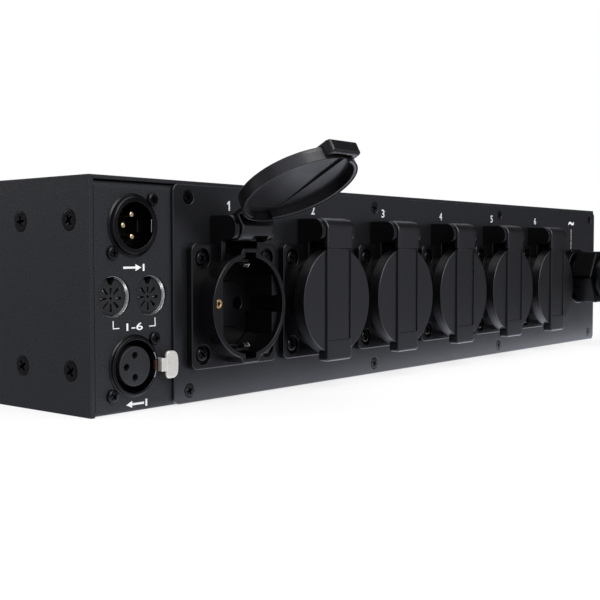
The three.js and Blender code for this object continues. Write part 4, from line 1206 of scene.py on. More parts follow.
    def flap(self) -> None:
        """Mould the lid: disc, skirt, band, thumb tab, barrel and pins."""
        shape = Shape()
        down = -self.hinge_up
        face, back = self.lid_face - self.hinge_out, self.lid_back - self.hinge_out
        band, skirt = self.band_face - self.hinge_out, self.skirt_end - self.hinge_out
        disc = Matrix.Translation((0, down, 0))
        near, far, hollow = 18.0, -20.4, 8.3
        channel = [Opening(rectangle(-hollow, hollow, far, near, 0.3, 2), floor=-back - 0.9, lip=0.12)]
        shape.slab(circle(self.lid, 96), -face, -back, edge=0.2, foot=0.4, openings=channel, place=disc @ FLIPPED)
        ramp = [(back + 0.3, down + near + 0.05), (back + 0.95, down - 8), (back + 0.95, down + near + 0.05)]
        shape.slab(ramp, -hollow - 0.05, hollow + 0.05, edge=0, place=ACROSS)
        outer, inner, gap = self.lid - 0.1, self.lid - 1.6, 14.7
        for middle in (0, 180):
            first, last = middle - 90 + gap, middle + 90 - gap
            wall = arc(outer, first, last, 48) + arc(inner, last, first, 48)
            shape.slab(wall, skirt, back + 0.1, edge=0, foot=0.35, place=disc)
        flare = [(self.lid - 0.14, back + 0.3), (self.lid - 0.14, skirt - 0.2), (self.lid + 0.05, skirt - 0.3),
                 (self.lid + 0.2, skirt - 0.1), (self.lid + 0.02, back + 0.3)]
        shape.turn(flare, 96, disc)
        half, bottom, top = self.band_half, down - self.lid - 2.9, down + 23.2
        recess = Opening(rectangle(-8.1, 8.1, down - 17.5, top - 0.7, 0.3, 2), floor=band - 0.6, lip=0.12)
        shape.slab(rectangle(-half, half, bottom + 1.2, top), face - 0.1, band, edge=0.35, openings=[recess])
        shape.slab(rectangle(-half, half, band - 5.4, band - 0.02, 0.9, 4), bottom, bottom + 1.8, edge=0, foot=1.0,
                   place=UPRIGHT)
        for start in (-half + 0.02, 5.3):
            shape.slab(rectangle(start, start + half - 5.32, band - 5.3, band - 0.5, 0.3, 2), bottom + 1.5,
                       bottom + 4.1, edge=0, place=UPRIGHT)
        radius = band - 0.02
        turns = [(a, radius + 0.55 * min(max((a - 105) / 70, 0), 1)) for a in range(0, 264, 11)]
        bend = [(reach * cos(radians(a)), reach * sin(radians(a))) for a, reach in turns]
        foot_end = [(0.6, -5.3), (back, -self.barrel), (back, -self.barrel - 3.0)]
        outline = [(radius, top + 0.02), *bend, *foot_end]
        notch = [(radius, top + 0.02), *bend[:13], (-2.4, 1.0), (-2.8, -1.2), *bend[19:], *foot_end]
        start, end, cut, rest = -8.3, self.hood_inside - 0.25, -1.2, 7.8
        shape.slab(outline, start, cut, edge=0.0, foot=0.8, place=ACROSS)
        shape.slab(notch, cut - 0.02, rest, edge=0.0, place=ACROSS)
        shape.slab(outline, rest - 0.02, end, edge=0.3, place=ACROSS)
        pin = soften([(0, -11.0), (1.6, -11.0), (1.6, 11.0), (0, 11.0)], [0, 0.3, 0.3, 0], 2, closed=False)
        shape.turn(pin, 24, Matrix.Rotation(pi / 2, 4, "Y"))
        self.bench.piece(f"flap_{self.number}", shape.data("flap", self.hinge), Finishes.LID, f"lid_{self.number}",
                         stands_for=(f"outlet_lid_{self.number}",))

    def build(self) -> None:
        """Make the outlet."""
        self.housing()
        self.contacts()
        self.flap()


# The control connectors


@dataclass
class ControlBay:
    """The round connectors, their latch and screws, and the two eight-pole sockets."""

    case: Case
    bench: Bench
    repeater: Repeater
    across: float = 20.2
    input_up: float = 70.0
    output_up: float = 17.4
    socket_up: float = 43.65
    sockets: tuple[float, ...] = (11.2, 29.3)
    face: float = 6.8
    star_drop: float = 0.65
    pin_circle: float = 4.15
    pin: float = 1.05

    def pins(self) -> list[Point]:
        """Where the three pins stand, round a connector's axis."""
        return [(self.pin_circle * cos(radians(a)), self.pin_circle * sin(radians(a))) for a in (90, 180, 270)]

    def input(self) -> None:
        """Make the input connector with its three pins."""
        place = self.case.rear.at(self.across, self.input_up)
        shell = soften([(8.7, -15), (8.7, 2.3), (10.6, 2.3), (11.1, 0.8), (11.1, -15)], [0, 0.3, 0.8, 0.8, 0], 5)
        shape = Shape().turn(shell, 72)
        collar = soften([(11.0, -1.6), (11.9, -1.6), (11.9, 0.25), (11.0, 0.7)], [0, 0, 0.2, 0.1], 3)
        shape.turn(collar, 72)
        plate = [Opening(circle(11.0, 48))]
        shape.slab(rectangle(-13, 13, -13.5, 13.5, 2), -3.6, -1.65, edge=0, openings=plate)
        self.bench.piece("input_barrel", shape.data("barrel", place), Finishes.CONNECTOR,
                         stands_for=("input_connector_shell",))
        bed = Shape()
        bed.slab(circle(8.5, 48), -22.3, -12, edge=0.3)
        for u, v in self.pins():
            bed.turn([(0, -12.1), (1.9, -12.1), (1.9, -11.2), (1.7, -11.0), (0, -11.0)], 24,
                     Matrix.Translation((u, v, 0)))
        bed.slab(rectangle(7.2, 8.7, -2.6, 2.6, 0.3, 2), -12, -5.5, edge=0.3)
        self.bench.piece("input_bed", bed.data("bed", place), Finishes.WELL, stands_for=("input_connector_insert",))
        unit = Shape().turn(soften([(0, -11.2), (self.pin, -11.2), (self.pin, 0), (0, 0)], [0, 0, 0.7, 0], 5,
                                   closed=False), 28)
        mesh = self.repeater.ring(unit.data("pin"), 4, self.pin_circle, Finishes.GOLD)
        picked = bmesh.new()
        picked.from_mesh(mesh)
        extra = [vertex for vertex in picked.verts if vertex.co.x > self.pin_circle - 1.5]
        bmesh.ops.delete(picked, geom=extra, context="VERTS")
        picked.transform(place)
        picked.to_mesh(mesh)
        picked.free()
        self.bench.piece("input_pins", mesh, Finishes.GOLD)
        tongue = Shape().slab(rectangle(8.3, 8.6, -2.5, 2.5, 0.1, 2), 0.5, 1.3, edge=0.1)
        self.bench.piece("input_catch", tongue.data("tongue", place), Finishes.STEEL)

    def output(self) -> None:
        """Make the output connector with its socket insert and latch."""
        place = self.case.rear.at(self.across, self.output_up)
        shell = soften([(9.9, -15), (9.9, 1.6), (11.2, 1.6), (11.2, -15)], [0, 0.35, 0.55, 0], 4)
        shape = Shape().turn(shell, 72)
        collar = soften([(11.1, -1.6), (11.9, -1.6), (11.9, 0.25), (11.1, 0.7)], [0, 0, 0.2, 0.1], 3)
        shape.turn(collar, 72)
        shape.slab(rectangle(-13, 13, -13.5, 13.5, 2), -3.6, -1.65, edge=0, openings=[Opening(circle(11.0, 48))])
        self.bench.piece("output_barrel", shape.data("barrel", place), Finishes.CONNECTOR,
                         stands_for=("output_connector_shell",))
        holes = [Opening(circle(1.35, 28, spot), floor=-9, lip=0.25) for spot in self.pins()]
        nose = Shape().slab(circle(7.6, 64), -20, 1.0, edge=0.45, openings=holes)
        nose.turn([(7.5, -20), (9.7, -20), (9.7, -14), (7.5, -14)], 48)
        self.bench.piece("output_insert", nose.data("nose", place), Finishes.INSERT,
                         stands_for=("output_connector_insert",))
        head = soften([(12.8, -5.7), (18.6, -5.7), (19.1, -0.5), (18.6, 4.9), (12.8, 4.9)],
                      [1.6, 2.8, 6.0, 2.8, 1.6], 7)
        latch = Shape().slab(head, 3.2, 4.4, edge=0.4, foot=0.3)
        latch.slab(rectangle(10.6, 14.2, -2.8, 2.3, 0.3, 2), 3.25, 4.1, edge=0.25, foot=0.2)
        latch.slab(rectangle(11.5, 12.7, -2.8, 2.3, 0.3, 2), -12, 3.9, edge=0.2)
        self.bench.piece("latch_tab", latch.data("latch", place), Finishes.NICKEL, "latch",
                         stands_for=("output_connector_latch",))
        guide = Shape()
        for low, high in ((-29, -13), (12, 28)):
            guide.slab(arc(10.05, low, high, 8) + arc(9.75, high, low, 8), -3, 1.9, edge=0.1)
        self.bench.piece("latch_guide", guide.data("guide", place), Finishes.STEEL)
        spring = Shape().slab(arc(10.3, -11, 10, 8) + arc(9.5, 10, -11, 8), 0.5, 1.9, edge=0.25)
        self.bench.piece("latch_spring", spring.data("spring", place), Finishes.COPPER)

    def screws(self) -> None:
        """Set the four screws of the two connectors."""
        spots = [(29.8, 79.9), (10.2, 59.8), (30.4, 27.2), (9.6, 7.2)]
        heads = self.repeater.heads(Head.PAN, 2.5, [(u, v, 0.0) for u, v in spots], 5)
        heads.transform(self.case.rear.at())
        self.bench.piece("screws_connectors", heads, Finishes.SCREW)

    def socket(self, letter: str, across: float) -> None:
        """Make one eight-pole socket.

        Args:
            letter: Which of the two.
            across: Its place.
        """
        place = self.case.rear.at(across, self.socket_up)
        cup = Shape().turn(soften([(6.9, -9.2), (6.9, -1.9), (7.45, -0.75), (7.55, -0.75), (7.55, -9.2)],
                                  [0, 0.6, 0.1, 0, 0], 4), 72)
        self.bench.piece(f"socket_cup_{letter}", cup.data("cup", place), Finishes.STEEL,
                         stands_for=(f"control_socket_shell_{letter}",))
        outline = arc(self.face, 106, 434, 56)
        outline += [(0.85, 4.4), (-0.85, 4.4)]
        slot = [(1.9, -0.3), (5.0, -0.65), (5.0, 0.65), (1.9, 0.3)]
        slots = []
        for index in range(8):
            turn = Matrix.Rotation(index * pi / 4, 2)
            reach = 3.9 / 5.0 if index == 2 else 1.0
            spun = [turn @ Vector(corner) * reach for corner in slot]
            slots.append(Opening(soften([(corner.x, corner.y - self.star_drop) for corner in spun], 0.2, 2),
                                 floor=-6.4, lip=0.08))
        middle = Opening(circle(0.6, 20, (0, -self.star_drop)), floor=-6.4, lip=0.08)
        face = Shape().slab(outline, -9.4, -1.95, edge=0.2, openings=[*slots, middle])
        face.slab(rectangle(-7.1, 7.1, -8.5, 8.5, 0.8, 3), -22.3, -9.5, edge=0)
        self.bench.piece(f"socket_insert_{letter}", face.data("face", place), Finishes.INSERT,
                         stands_for=(f"control_socket_insert_{letter}",))
        leaf = Shape().slab(rectangle(-0.7, 0.7, -0.2, 0.2, 0.05, 1), -6.2, -2.9, edge=0.1)
        leaves = self.repeater.ring(leaf.data("leaf"), 8, 3.7, Finishes.STEEL)
        leaves.transform(place @ Matrix.Translation((0, -self.star_drop, 0)))
        self.bench.piece(f"socket_contacts_{letter}", leaves, Finishes.STEEL)

    def build(self) -> None:
        """Make the whole bay."""
        self.input()
        self.output()
        self.screws()
        for letter, across in zip("ab", self.sockets):
            self.socket(letter, across)
        self.bench.node("input_board", Finishes.BOARD)


@dataclass
class CableGland:
    """The gland of the mains cable: flange, neck, six-sided nut and rubber seal."""

    case: Case
    bench: Bench
    across: float = 396.3
    height: float = 43.9
    flange: float = 17.6
    nut_flats: float = 32.6

    def build(self) -> None:
        """Make the gland."""
        place = self.case.rear.at(self.across, self.height)
        body = soften([(7.5, -6), (12, -6), (12, 1.7), (self.flange, 1.7), (self.flange, 7.7), (12.6, 7.7),
                       (12.6, 19.7), (7.5, 19.7)],
                      [0, 0, 0, 0.5, 1.1, 0.5, 0.6, 0], 4)
        self.bench.piece("gland_base", Shape().turn(body, 72).data("base", place), Finishes.GLAND,
                         stands_for=("gland_body",))
        corner = self.nut_flats / sqrt(3)
        hexagon = soften([(corner * cos(radians(60 * k)), corner * sin(radians(60 * k))) for k in range(6)], 2.2, 5)
        nut = Shape().slab(hexagon, 10.1, 23.6, edge=1.0, foot=0.9, openings=[Opening(circle(13.2, 48))])
        dome = [(13.0, 10.2), (13.3, 10.2), (13.5, 23.5), (13.5, 25.4), (12.9, 28.0), (11.7, 30.3), (10.6, 31.4),
                (10.2, 31.6), (9.4, 31.6), (9.2, 31.2), (9.2, 24), (13.0, 21)]
        nut.turn(dome, 72)
        self.bench.piece("gland_cap", nut.data("cap", place), Finishes.GLAND, stands_for=("gland_nut",))
        seal = soften([(7.5, 20), (9.1, 20), (9.1, 31.1), (8.3, 31.1), (7.5, 30.2)], [0, 0, 0.3, 0.3, 0.3], 3)
        self.bench.piece("gland_seal", Shape().turn(seal, 56).data("seal", place), Finishes.RUBBER)
        self.bench.node("gland_lock_nut", Finishes.GLAND)


@dataclass
class FrontControls:
    """Breakers with their toggles, menu buttons and the display."""

    case: Case
    bench: Bench
    breakers: tuple[float, ...] = tuple(-150.0 + 18 * index for index in range(6))
    buttons: tuple[float, ...] = (68.0, 86.0, 104.0, 122.0)
    middle: float = 44.0
    pivot: float = -1.4

    def breaker(self, number: int, across: float) -> None:
        """Make one breaker and its toggle.

        Args:
            number: Which one.
            across: Its place.
        """
        place = self.case.front.at(across, self.middle)
        slot = Opening(rectangle(-3.0, 3.0, -10, 10, 0.8, 3), floor=-6.6, lip=0.3)
        label = Opening(rectangle(-6.2, 6.2, -19.5, -13.5, 0.5, 3), floor=4.4, lip=0.1)
        shape = Shape().slab(rectangle(-8.7, 8.7, -22.2, 22.2, 0.8, 3), -10, 4.6, edge=0.6, openings=[slot, label])
        shape.slab(rectangle(-8.7, 8.7, -39, 39, 0.8, 3), -56, -10.05, edge=0.3)
        self.bench.piece(f"breaker_{number}", shape.data("breaker", place), Finishes.BREAKER,
                         stands_for=(f"breaker_body_{number}",))
        lever = [(4.95 * cos(radians(a)), 4.95 * sin(radians(a))) for a in range(78, 283, 12)]
        lever += [(12.8 + 2.15 * cos(radians(a)), 2.15 * sin(radians(a))) for a in range(-78, 79, 13)]
        tilt = self.case.front.at(across, self.middle, self.pivot) @ Matrix.Rotation(-radians(30), 4, "X")
        toggle = Shape().slab(lever, -2.7, 2.7, edge=0.5, foot=0.5, place=ACROSS)
        self.bench.piece(f"lever_{number}", toggle.data("lever", tilt), Finishes.TOGGLE, f"toggle_{number}",
                         stands_for=(f"breaker_toggle_{number}",))

    def button(self, number: int, across: float) -> None:
        """Make one menu button.

        Args:
            number: Which one.
            across: Its place.
        """
        profile = soften([(0, -7.2), (2, -7.2), (2, -1.8), (5.8, -1.8), (5.8, -0.2), (4.5, -0.2), (4.5, 4.9),
                          (3.4, 4.9), (0, 4.5)],
                         [0, 0.2, 0, 0.3, 0.2, 0, 0.6, 0.4, 0], 4, closed=False)
        cap = Shape().turn(profile, 40).data("button", self.case.front.at(across, 27))
        self.bench.piece(f"key_{number}", cap, Finishes.BUTTON, f"button_{number}",
                         stands_for=(f"menu_button_{number}",))

    def digit(self, shape: Shape, lit: str, across: float, want: bool) -> None:
        """Draw the lit or the dark bars of one seven-bar digit.

        Args:
            shape: The shape that the bars go to.
            lit: Letters of the lit bars.
            across: Middle of the digit.
            want: True to draw the lit bars.
        """
        bars = {"a": (0, 6.5, True), "b": (3.2, 3.3, False), "c": (3.2, -3.3, False), "d": (0, -6.5, True),
                "e": (-3.2, -3.3, False), "f": (-3.2, 3.3, False), "g": (0, 0, True)}
        for letter, (u, v, level) in bars.items():
            if (letter in lit) is not want:
                continue
            long, wide = 2.5, 0.6
            loop = [(-long, 0), (-long + wide, -wide), (long - wide, -wide), (long, 0), (long - wide, wide),
                    (-long + wide, wide)]
            loop = loop if level else [(-y, x) for x, y in loop]
            shape.slab([(across + u + x, 56 + v + y) for x, y in loop], 3.08, 3.14, edge=0)

    def display(self) -> None:
        """Draw three digits behind the smoked window."""
        lit_bars, dark_bars = Shape(), Shape()
        for across, lit in ((83, "abcdef"), (95, "abcdef"), (107, "bc")):
            self.digit(lit_bars, lit, across, True)
            self.digit(dark_bars, lit, across, False)
        place = self.case.front.at()
        self.bench.piece("display_lit", lit_bars.data("lit", place), Finishes.LIT)
        self.bench.piece("display_dark", dark_bars.data("dark", place), Finishes.UNLIT)
        self.bench.node("display_window", Finishes.WINDOW)

    def build(self) -> None:
        """Make all the controls."""
        for number, across in enumerate(self.breakers, 1):
            self.breaker(number, across)
        for number, across in enumerate(self.buttons, 1):
            self.button(number, across)
        self.display()


@dataclass
class Inside:
    """Boards, heat sink, rail and terminals, which keep the frame's own shapes."""

    bench: Bench
    finishes: dict[str, Finishes] = field(default_factory=lambda: {
        "power_board": Finishes.BOARD, "control_board": Finishes.BOARD, "heat_sink": Finishes.ALLOY,
        "breaker_rail": Finishes.ALLOY, "terminal_block": Finishes.BREAKER,
    })

    def build(self) -> None:
        """Dress them."""
        for node, finish in self.finishes.items():
            self.bench.node(node, finish)


@dataclass
class Print:
    """White print: plain numbers, arrows and thin lines."""

    case: Case
    bench: Bench
    thick: float = 0.02
    plate_face: float = 1.6
    panel_face: float = 3.1
    digits: tuple[tuple[str, float], ...] = (
        ("1", 70.4), ("2", 125.3), ("3", 180.3), ("4", 234.1), ("5", 289.4), ("6", 344.1))
    digit_rows: tuple[float, float] = (76.9, 80.9)
    digit_half: float = 1.3
    breaker_rows: tuple[float, float] = (69.6, 73.0)
    breaker_columns: tuple[float, ...] = (-150, -132, -114, -96, -78, -60)
    upright: float = 0.85
    shaft_half: float = 0.4
    head_half: float = 1.3
    head_length: float = 2.9
    bar_gap: float = 0.7
    bar_width: float = 0.9
    bar_half: float = 1.35

    def word(self, text: str, left: float, right: float, low: float, high: float, bold: float = 0.01) -> bpy.types.Mesh:
        """Set a word into a box.

        Args:
            text: The word.
            left: Left side of the box.
            right: Right side.
            low: Lower side.
            high: Upper side.
            bold: How much the strokes are widened, as a share of the type size.

        Returns:
            Its mesh, lying on the level 0, in millimetres.
        """
        curve = bpy.data.curves.new("word", "FONT")
        curve.body = text
        curve.resolution_u = 6
        curve.offset = bold
        mesh = baked(bpy.data.objects.new("word", curve))
        xs = [vertex.co.x for vertex in mesh.vertices]
        ys = [vertex.co.y for vertex in mesh.vertices]
        scale = Matrix.Diagonal(((right - left) / (max(xs) - min(xs)), (high - low) / (max(ys) - min(ys)), 1, 1))
        mesh.transform(Matrix.Translation((left, low, 0)) @ scale @ Matrix.Translation((-min(xs), -min(ys), 0)))
        return mesh

    def arrow(self, tail: float, tip: float, level: float, way: int) -> bpy.types.Mesh:
        """Draw an arrow that runs along a line, with a bar at the socket's end.

        Args:
            tail: Where the arrow starts, across.
            tip: Where it ends.
            level: Its height.
            way: 1 for an arrow into the bar, -1 for one away from it.

        Returns:
            Its mesh, lying on the level 0, in millimetres.
        """
        ahead = 1 if tip > tail else -1
        neck = tip - self.head_length * ahead
        bar = tip + self.bar_gap * ahead if way > 0 else tail - self.bar_gap * ahead
        shaft, head, stroke = self.shaft_half, self.head_half, self.bar_half
        outline = [(tail, level - shaft), (neck, level - shaft), (neck, level - head), (tip, level),
                   (neck, level + head), (neck, level + shaft), (tail, level + shaft)]
        low, high = sorted((bar, bar + self.bar_width * (ahead if way > 0 else -ahead)))
        stop = [(low, level - stroke), (high, level - stroke), (high, level + stroke), (low, level + stroke)]
        mesh = bpy.data.meshes.new("arrow")
        mesh.from_pydata([(x, y, 0) for x, y in outline + stop], [], [tuple(range(7)), tuple(range(7, 11))])
        return mesh

    @staticmethod
    def one(middle: float, low: float, high: float, stroke: float) -> bpy.types.Mesh:
        """Draw the number one, an upright with its flag.

        Args:
            middle: Its middle, across.
            low: Its lower side.
            high: Its upper side.
            stroke: Width of the upright.

        Returns:
            Its mesh, lying on the level 0, in millimetres.
        """
        right, left, tall = middle + stroke * 0.9, middle - stroke * 0.1, high - low
        outline = [(left, low), (right, low), (right, high), (right - stroke * 0.75, high),
                   (left - stroke, low + tall * 0.78), (left - stroke, low + tall * 0.62), (left, low + tall * 0.7)]
        mesh = bpy.data.meshes.new("one")
        mesh.from_pydata([(x, y, 0) for x, y in outline], [], [tuple(range(7))])
        return mesh

    def sheet(self, name: str, flats: list[bpy.types.Mesh], strokes: list[tuple[float, float, float, float]],
              wall: Wall, level: float) -> None:
        """Print words and strokes on a wall as one thin piece.

        Args:
            name: Name of the piece.
            flats: Flat meshes of the words.
            strokes: Rectangles: left, right, low and high.
            wall: The wall.
            level: Level of the surface that is printed on.
        """
        ink = bmesh.new()
        for flat in flats:
            ink.from_mesh(flat)
        bmesh.ops.remove_doubles(ink, verts=ink.verts, dist=0.0001)
        for left, right, low, high in strokes:
            ink.faces.new([ink.verts.new((x, y, 0))
                           for x, y in ((left, low), (right, low), (right, high), (left, high))])
        grown_up = bmesh.ops.extrude_face_region(ink, geom=ink.faces[:])["geom"]
        lifted = [item for item in grown_up if isinstance(item, bmesh.types.BMVert)]
        bmesh.ops.translate(ink, verts=lifted, vec=(0, 0, self.thick))
        bmesh.ops.recalc_face_normals(ink, faces=ink.faces)
        ink.transform(wall.at(0, 0, level))
        mesh = bpy.data.meshes.new(name)
        ink.to_mesh(mesh)
        ink.free()
        self.bench.piece(name, mesh, Finishes.PRINT)

    def build(self) -> None:
        """Print the rear and the front."""
        rear = self.case.rear
        numbers = [self.one(middle, *self.digit_rows, self.upright) if text == "1"
                   else self.word(text, middle - self.digit_half, middle + self.digit_half, *self.digit_rows, 0.015)
                   for text, middle in self.digits]
        self.sheet("outlet_numbers", numbers, [], rear, self.plate_face)
        words = [self.word("1-6", 16.9, 24.9, 30.8, 33.6), self.arrow(15.6, 24.4, 54.3, 1),
                 self.arrow(25.2, 16.4, 3.1, -1)]
        brackets = [(10.4, 10.8, 31.8, 34.8), (10.8, 13.5, 31.8, 32.15), (30.9, 31.3, 31.8, 35.1),
                    (28.1, 30.9, 31.8, 32.15)]
        self.sheet("connector_labels", words, brackets, rear, 0.0)
        self.sheet("mains_line", [self.word("~", 392.0, 400.4, 77.3, 79.9, 0.02)], [(396.0, 396.4, 61.8, 74.8)],
                   rear, self.plate_face)
        front = [self.word(str(number), across - (0.5 if number == 1 else 1.1),
                           across + (0.5 if number == 1 else 1.1), *self.breaker_rows)
                 for number, across in enumerate(self.breaker_columns, 1)]
        self.sheet("breaker_numbers", front, [], self.case.front, self.panel_face)


# Studio


@dataclass(frozen=True)
class Lamp:
    """A soft rectangular lamp.

    Attributes:
        name: Its name.
        place: Where it is, in metres.
        aim: What it points at.
        size: Its two sides.
        power: Its power in watts.
    """

    name: str
    place: tuple[float, float, float]
    aim: tuple[float, float, float]
    size: tuple[float, float]
    power: float


@dataclass
class Studio:
    """White studio, soft lamps and the camera of the photograph."""

    lens: float = 60.4
    eye: tuple[float, float, float] = (0.446853, 0.452338, 0.059981)
    yaw: float = 4.0213
    pitch: float = -0.0475
    roll: float = -0.0011
    lamps: tuple[Lamp, ...] = (
        Lamp("lamp_top", (0.1, 0.35, 1.3), (0.0, 0.1, 0.0), (1.4, 1.0), 10.0),
        Lamp("lamp_rear", (0.35, 1.5, 1.0), (0.05, 0.165, 0.05), (0.9, 0.9), 18.0),
        Lamp("lamp_left", (0.9, -1.4, 0.8), (0.2, 0.0, 0.06), (0.8, 0.8), 5.0),
    )
    surroundings: tuple[tuple[float, float], ...] = (
        (-180, 0.08), (-168, 0.15), (-155, 0.9), (-140, 1.0), (-125, 0.8), (-105, 0.35), (-60, 0.3), (-15, 0.3),
        (0, 1.0), (60, 1.0), (85, 0.35), (125, 0.42), (138, 0.55), (143, 0.57), (147, 0.34), (151, 0.15), (156, 0.04),
        (180, 0.05))
    cast: tuple[float, float, float] = (0.93, 0.95, 1.08)
    bright_strip: tuple[tuple[str, float, float], ...] = (("X", 0.28, 0.18), ("Y", 0.36, 0.2))
    strip_light: tuple[tuple[float, float], ...] = (
        (0.1, 0.62), (0.16, 0.65), (0.169, 2.1), (0.185, 2.0), (0.196, 0.8), (0.22, 0.58), (0.3, 0.5))

    def camera(self) -> None:
        """Set the camera where the photograph was taken from."""
        ahead = Vector((sin(self.yaw) * cos(self.pitch), cos(self.yaw) * cos(self.pitch), sin(self.pitch)))
        level = ahead.cross(Vector((0, 0, 1))).normalized()
        above = level.cross(ahead)
        right = cos(self.roll) * level + sin(self.roll) * above
        up = cos(self.roll) * above - sin(self.roll) * level
        data = bpy.data.cameras.new("camera")
        data.lens, data.sensor_width = self.lens, 36
        data.clip_start = 0.01
        camera = bpy.data.objects.new("camera", data)
        camera.matrix_world = Matrix.Translation(self.eye) @ Matrix((right, up, -ahead)).transposed().to_4x4()
        bpy.context.scene.collection.objects.link(camera)
        bpy.context.scene.camera = camera

    def lights(self) -> None:
        """Hang the lamps."""
        for lamp in self.lamps:
            data = bpy.data.lights.new(lamp.name, "AREA")
            data.shape = "RECTANGLE"
            data.size, data.size_y = lamp.size
            data.energy = lamp.power
            thing = bpy.data.objects.new(lamp.name, data)
            aim = Vector(lamp.aim) - Vector(lamp.place)
            thing.matrix_world = Matrix.Translation(lamp.place) @ aim.to_track_quat("-Z", "Y").to_matrix().to_4x4()
            bpy.context.scene.collection.objects.link(thing)

    @staticmethod
    def seen(nodes: bpy.types.Nodes, links: bpy.types.NodeLinks) -> bpy.types.NodeSocket:
        """Give 1 for what the camera, a reflection or a clear piece looks at.

        Args:
            nodes: Nodes of the material or the world.
            links: Their links.

        Returns:
            The output to use as a mask.
        """
        path = nodes.new("ShaderNodeLightPath")
        total = path.outputs["Is Camera Ray"]
        for label in ("Is Glossy Ray", "Is Transmission Ray"):
            either = nodes.new("ShaderNodeMath")
            either.operation = "MAXIMUM"
            links.new(total, either.inputs[0])
            links.new(path.outputs[label], either.inputs[1])
            total = either.outputs[0]
        return total

    def around(self) -> bpy.types.NodeTree:
        """Make the node group that gives the studio's light in a direction, as reflections see it.

        Returns:
            The group, from a direction to a colour.
        """
        group = bpy.data.node_groups.new("surroundings", "ShaderNodeTree")
        group.interface.new_socket("Direction", in_out="INPUT", socket_type="NodeSocketVector")
        group.interface.new_socket("Light", in_out="OUTPUT", socket_type="NodeSocketColor")
        nodes, links = group.nodes, group.links
        given, result = nodes.new("NodeGroupInput"), nodes.new("NodeGroupOutput")
        apart = nodes.new("ShaderNodeSeparateXYZ")
        links.new(given.outputs[0], apart.inputs[0])
        angle = nodes.new("ShaderNodeMath")
        angle.operation = "ARCTAN2"
        links.new(apart.outputs["Y"], angle.inputs[0])
        links.new(apart.outputs["X"], angle.inputs[1])
        share = nodes.new("ShaderNodeMapRange")
        share.inputs["From Min"].default_value = -pi
        share.inputs["From Max"].default_value = pi
        links.new(angle.outputs[0], share.inputs["Value"])
        ramp = nodes.new("ShaderNodeValToRGB")
        stops = ramp.color_ramp.elements
        for degrees, strength in self.surroundings[1:-1]:
            stop = stops.new((degrees + 180) / 360)
            stop.color = [strength * tint for tint in self.cast] + [1]
        for stop, (degrees, strength) in ((stops[0], self.surroundings[0]), (stops[-1], self.surroundings[-1])):
            stop.color = [strength * tint for tint in self.cast] + [1]
        links.new(share.outputs["Result"], ramp.inputs[0])
        links.new(ramp.outputs["Color"], result.inputs[0])
        return group

    def world(self, around: bpy.types.NodeTree) -> None:
        """Light everything softly, with white behind it.

        Args:
            around: The group of the surroundings.
        """
        world = bpy.data.worlds.new("studio")
        world.use_nodes = True
        bpy.context.scene.world = world
        nodes, links = world.node_tree.nodes, world.node_tree.links
        soft = nodes["Background"]
        soft.inputs["Color"].default_value = (1, 1, 1, 1)
        soft.inputs["Strength"].default_value = 0.5
        place = nodes.new("ShaderNodeTexCoord")
        room = nodes.new("ShaderNodeGroup")
        room.node_tree = around
        links.new(place.outputs["Generated"], room.inputs[0])
        path = nodes.new("ShaderNodeLightPath")
        white = nodes.new("ShaderNodeBackground")
        links.new(self.blend(nodes, links, path.outputs["Is Glossy Ray"], (1, 1, 1, 1), room.outputs[0]),
                  white.inputs["Color"])
        mix = nodes.new("ShaderNodeMixShader")
        links.new(self.seen(nodes, links), mix.inputs[0])
        links.new(soft.outputs[0], mix.inputs[1])
        links.new(white.outputs[0], mix.inputs[2])
        links.new(mix.outputs[0], nodes["World Output"].inputs["Surface"])

    @staticmethod
    def blend(nodes: bpy.types.Nodes, links: bpy.types.NodeLinks, share: bpy.types.NodeSocket,
              first: tuple | bpy.types.NodeSocket, second: tuple | bpy.types.NodeSocket) -> bpy.types.NodeSocket:
        """Blend two colours.

        Args:
            nodes: Nodes of the material or the world.
            links: Their links.
            share: Share of the second colour.
            first: One colour, or the output that gives it.
            second: The other.

        Returns:
            The output with the blend.
        """
        mix = nodes.new("ShaderNodeMix")
        mix.data_type = "RGBA"
        links.new(share, mix.inputs[0])
        for colour, place in ((first, mix.inputs[6]), (second, mix.inputs[7])):
            if isinstance(colour, tuple):
                place.default_value = colour
            else:
                links.new(colour, place)
        return mix.outputs[2]

    def gleam(self, nodes: bpy.types.Nodes, links: bpy.types.NodeLinks,
              around: bpy.types.NodeTree) -> bpy.types.NodeSocket:
        """Give the floor's own light: white for the camera, and white near the pack in reflections.

        Args:
            nodes: Nodes of the floor's material.
            links: Their links.
            around: The group of the surroundings, which the far floor follows.

        Returns:
            The output to use as a colour.
        """
        where = nodes.new("ShaderNodeNewGeometry")
        away = nodes.new("ShaderNodeVectorMath")
        away.operation = "SCALE"
        away.inputs["Scale"].default_value = -1.0
        links.new(where.outputs["Incoming"], away.inputs[0])
        room = nodes.new("ShaderNodeGroup")
        room.node_tree = around
        links.new(away.outputs["Vector"], room.inputs[0])
        apart = nodes.new("ShaderNodeSeparateXYZ")
        links.new(where.outputs["Position"], apart.inputs[0])
        close = nodes.new("ShaderNodeMath")
        close.operation = "MULTIPLY"
        for place, (axis, dark, bright) in zip(close.inputs, self.bright_strip):
            fade = nodes.new("ShaderNodeMapRange")
            fade.interpolation_type = "SMOOTHSTEP"
            fade.inputs["From Min"].default_value = dark
            fade.inputs["From Max"].default_value = bright
            links.new(apart.outputs[axis], fade.inputs["Value"])
            links.new(fade.outputs["Result"], place)
        start, end = self.strip_light[0][0], self.strip_light[-1][0]
        along = nodes.new("ShaderNodeMapRange")
        along.inputs["From Min"].default_value = start
        along.inputs["From Max"].default_value = end
        links.new(apart.outputs["Y"], along.inputs["Value"])
        ramp = nodes.new("ShaderNodeValToRGB")
        stops, brightest = ramp.color_ramp.elements, max(strength for _, strength in self.strip_light)
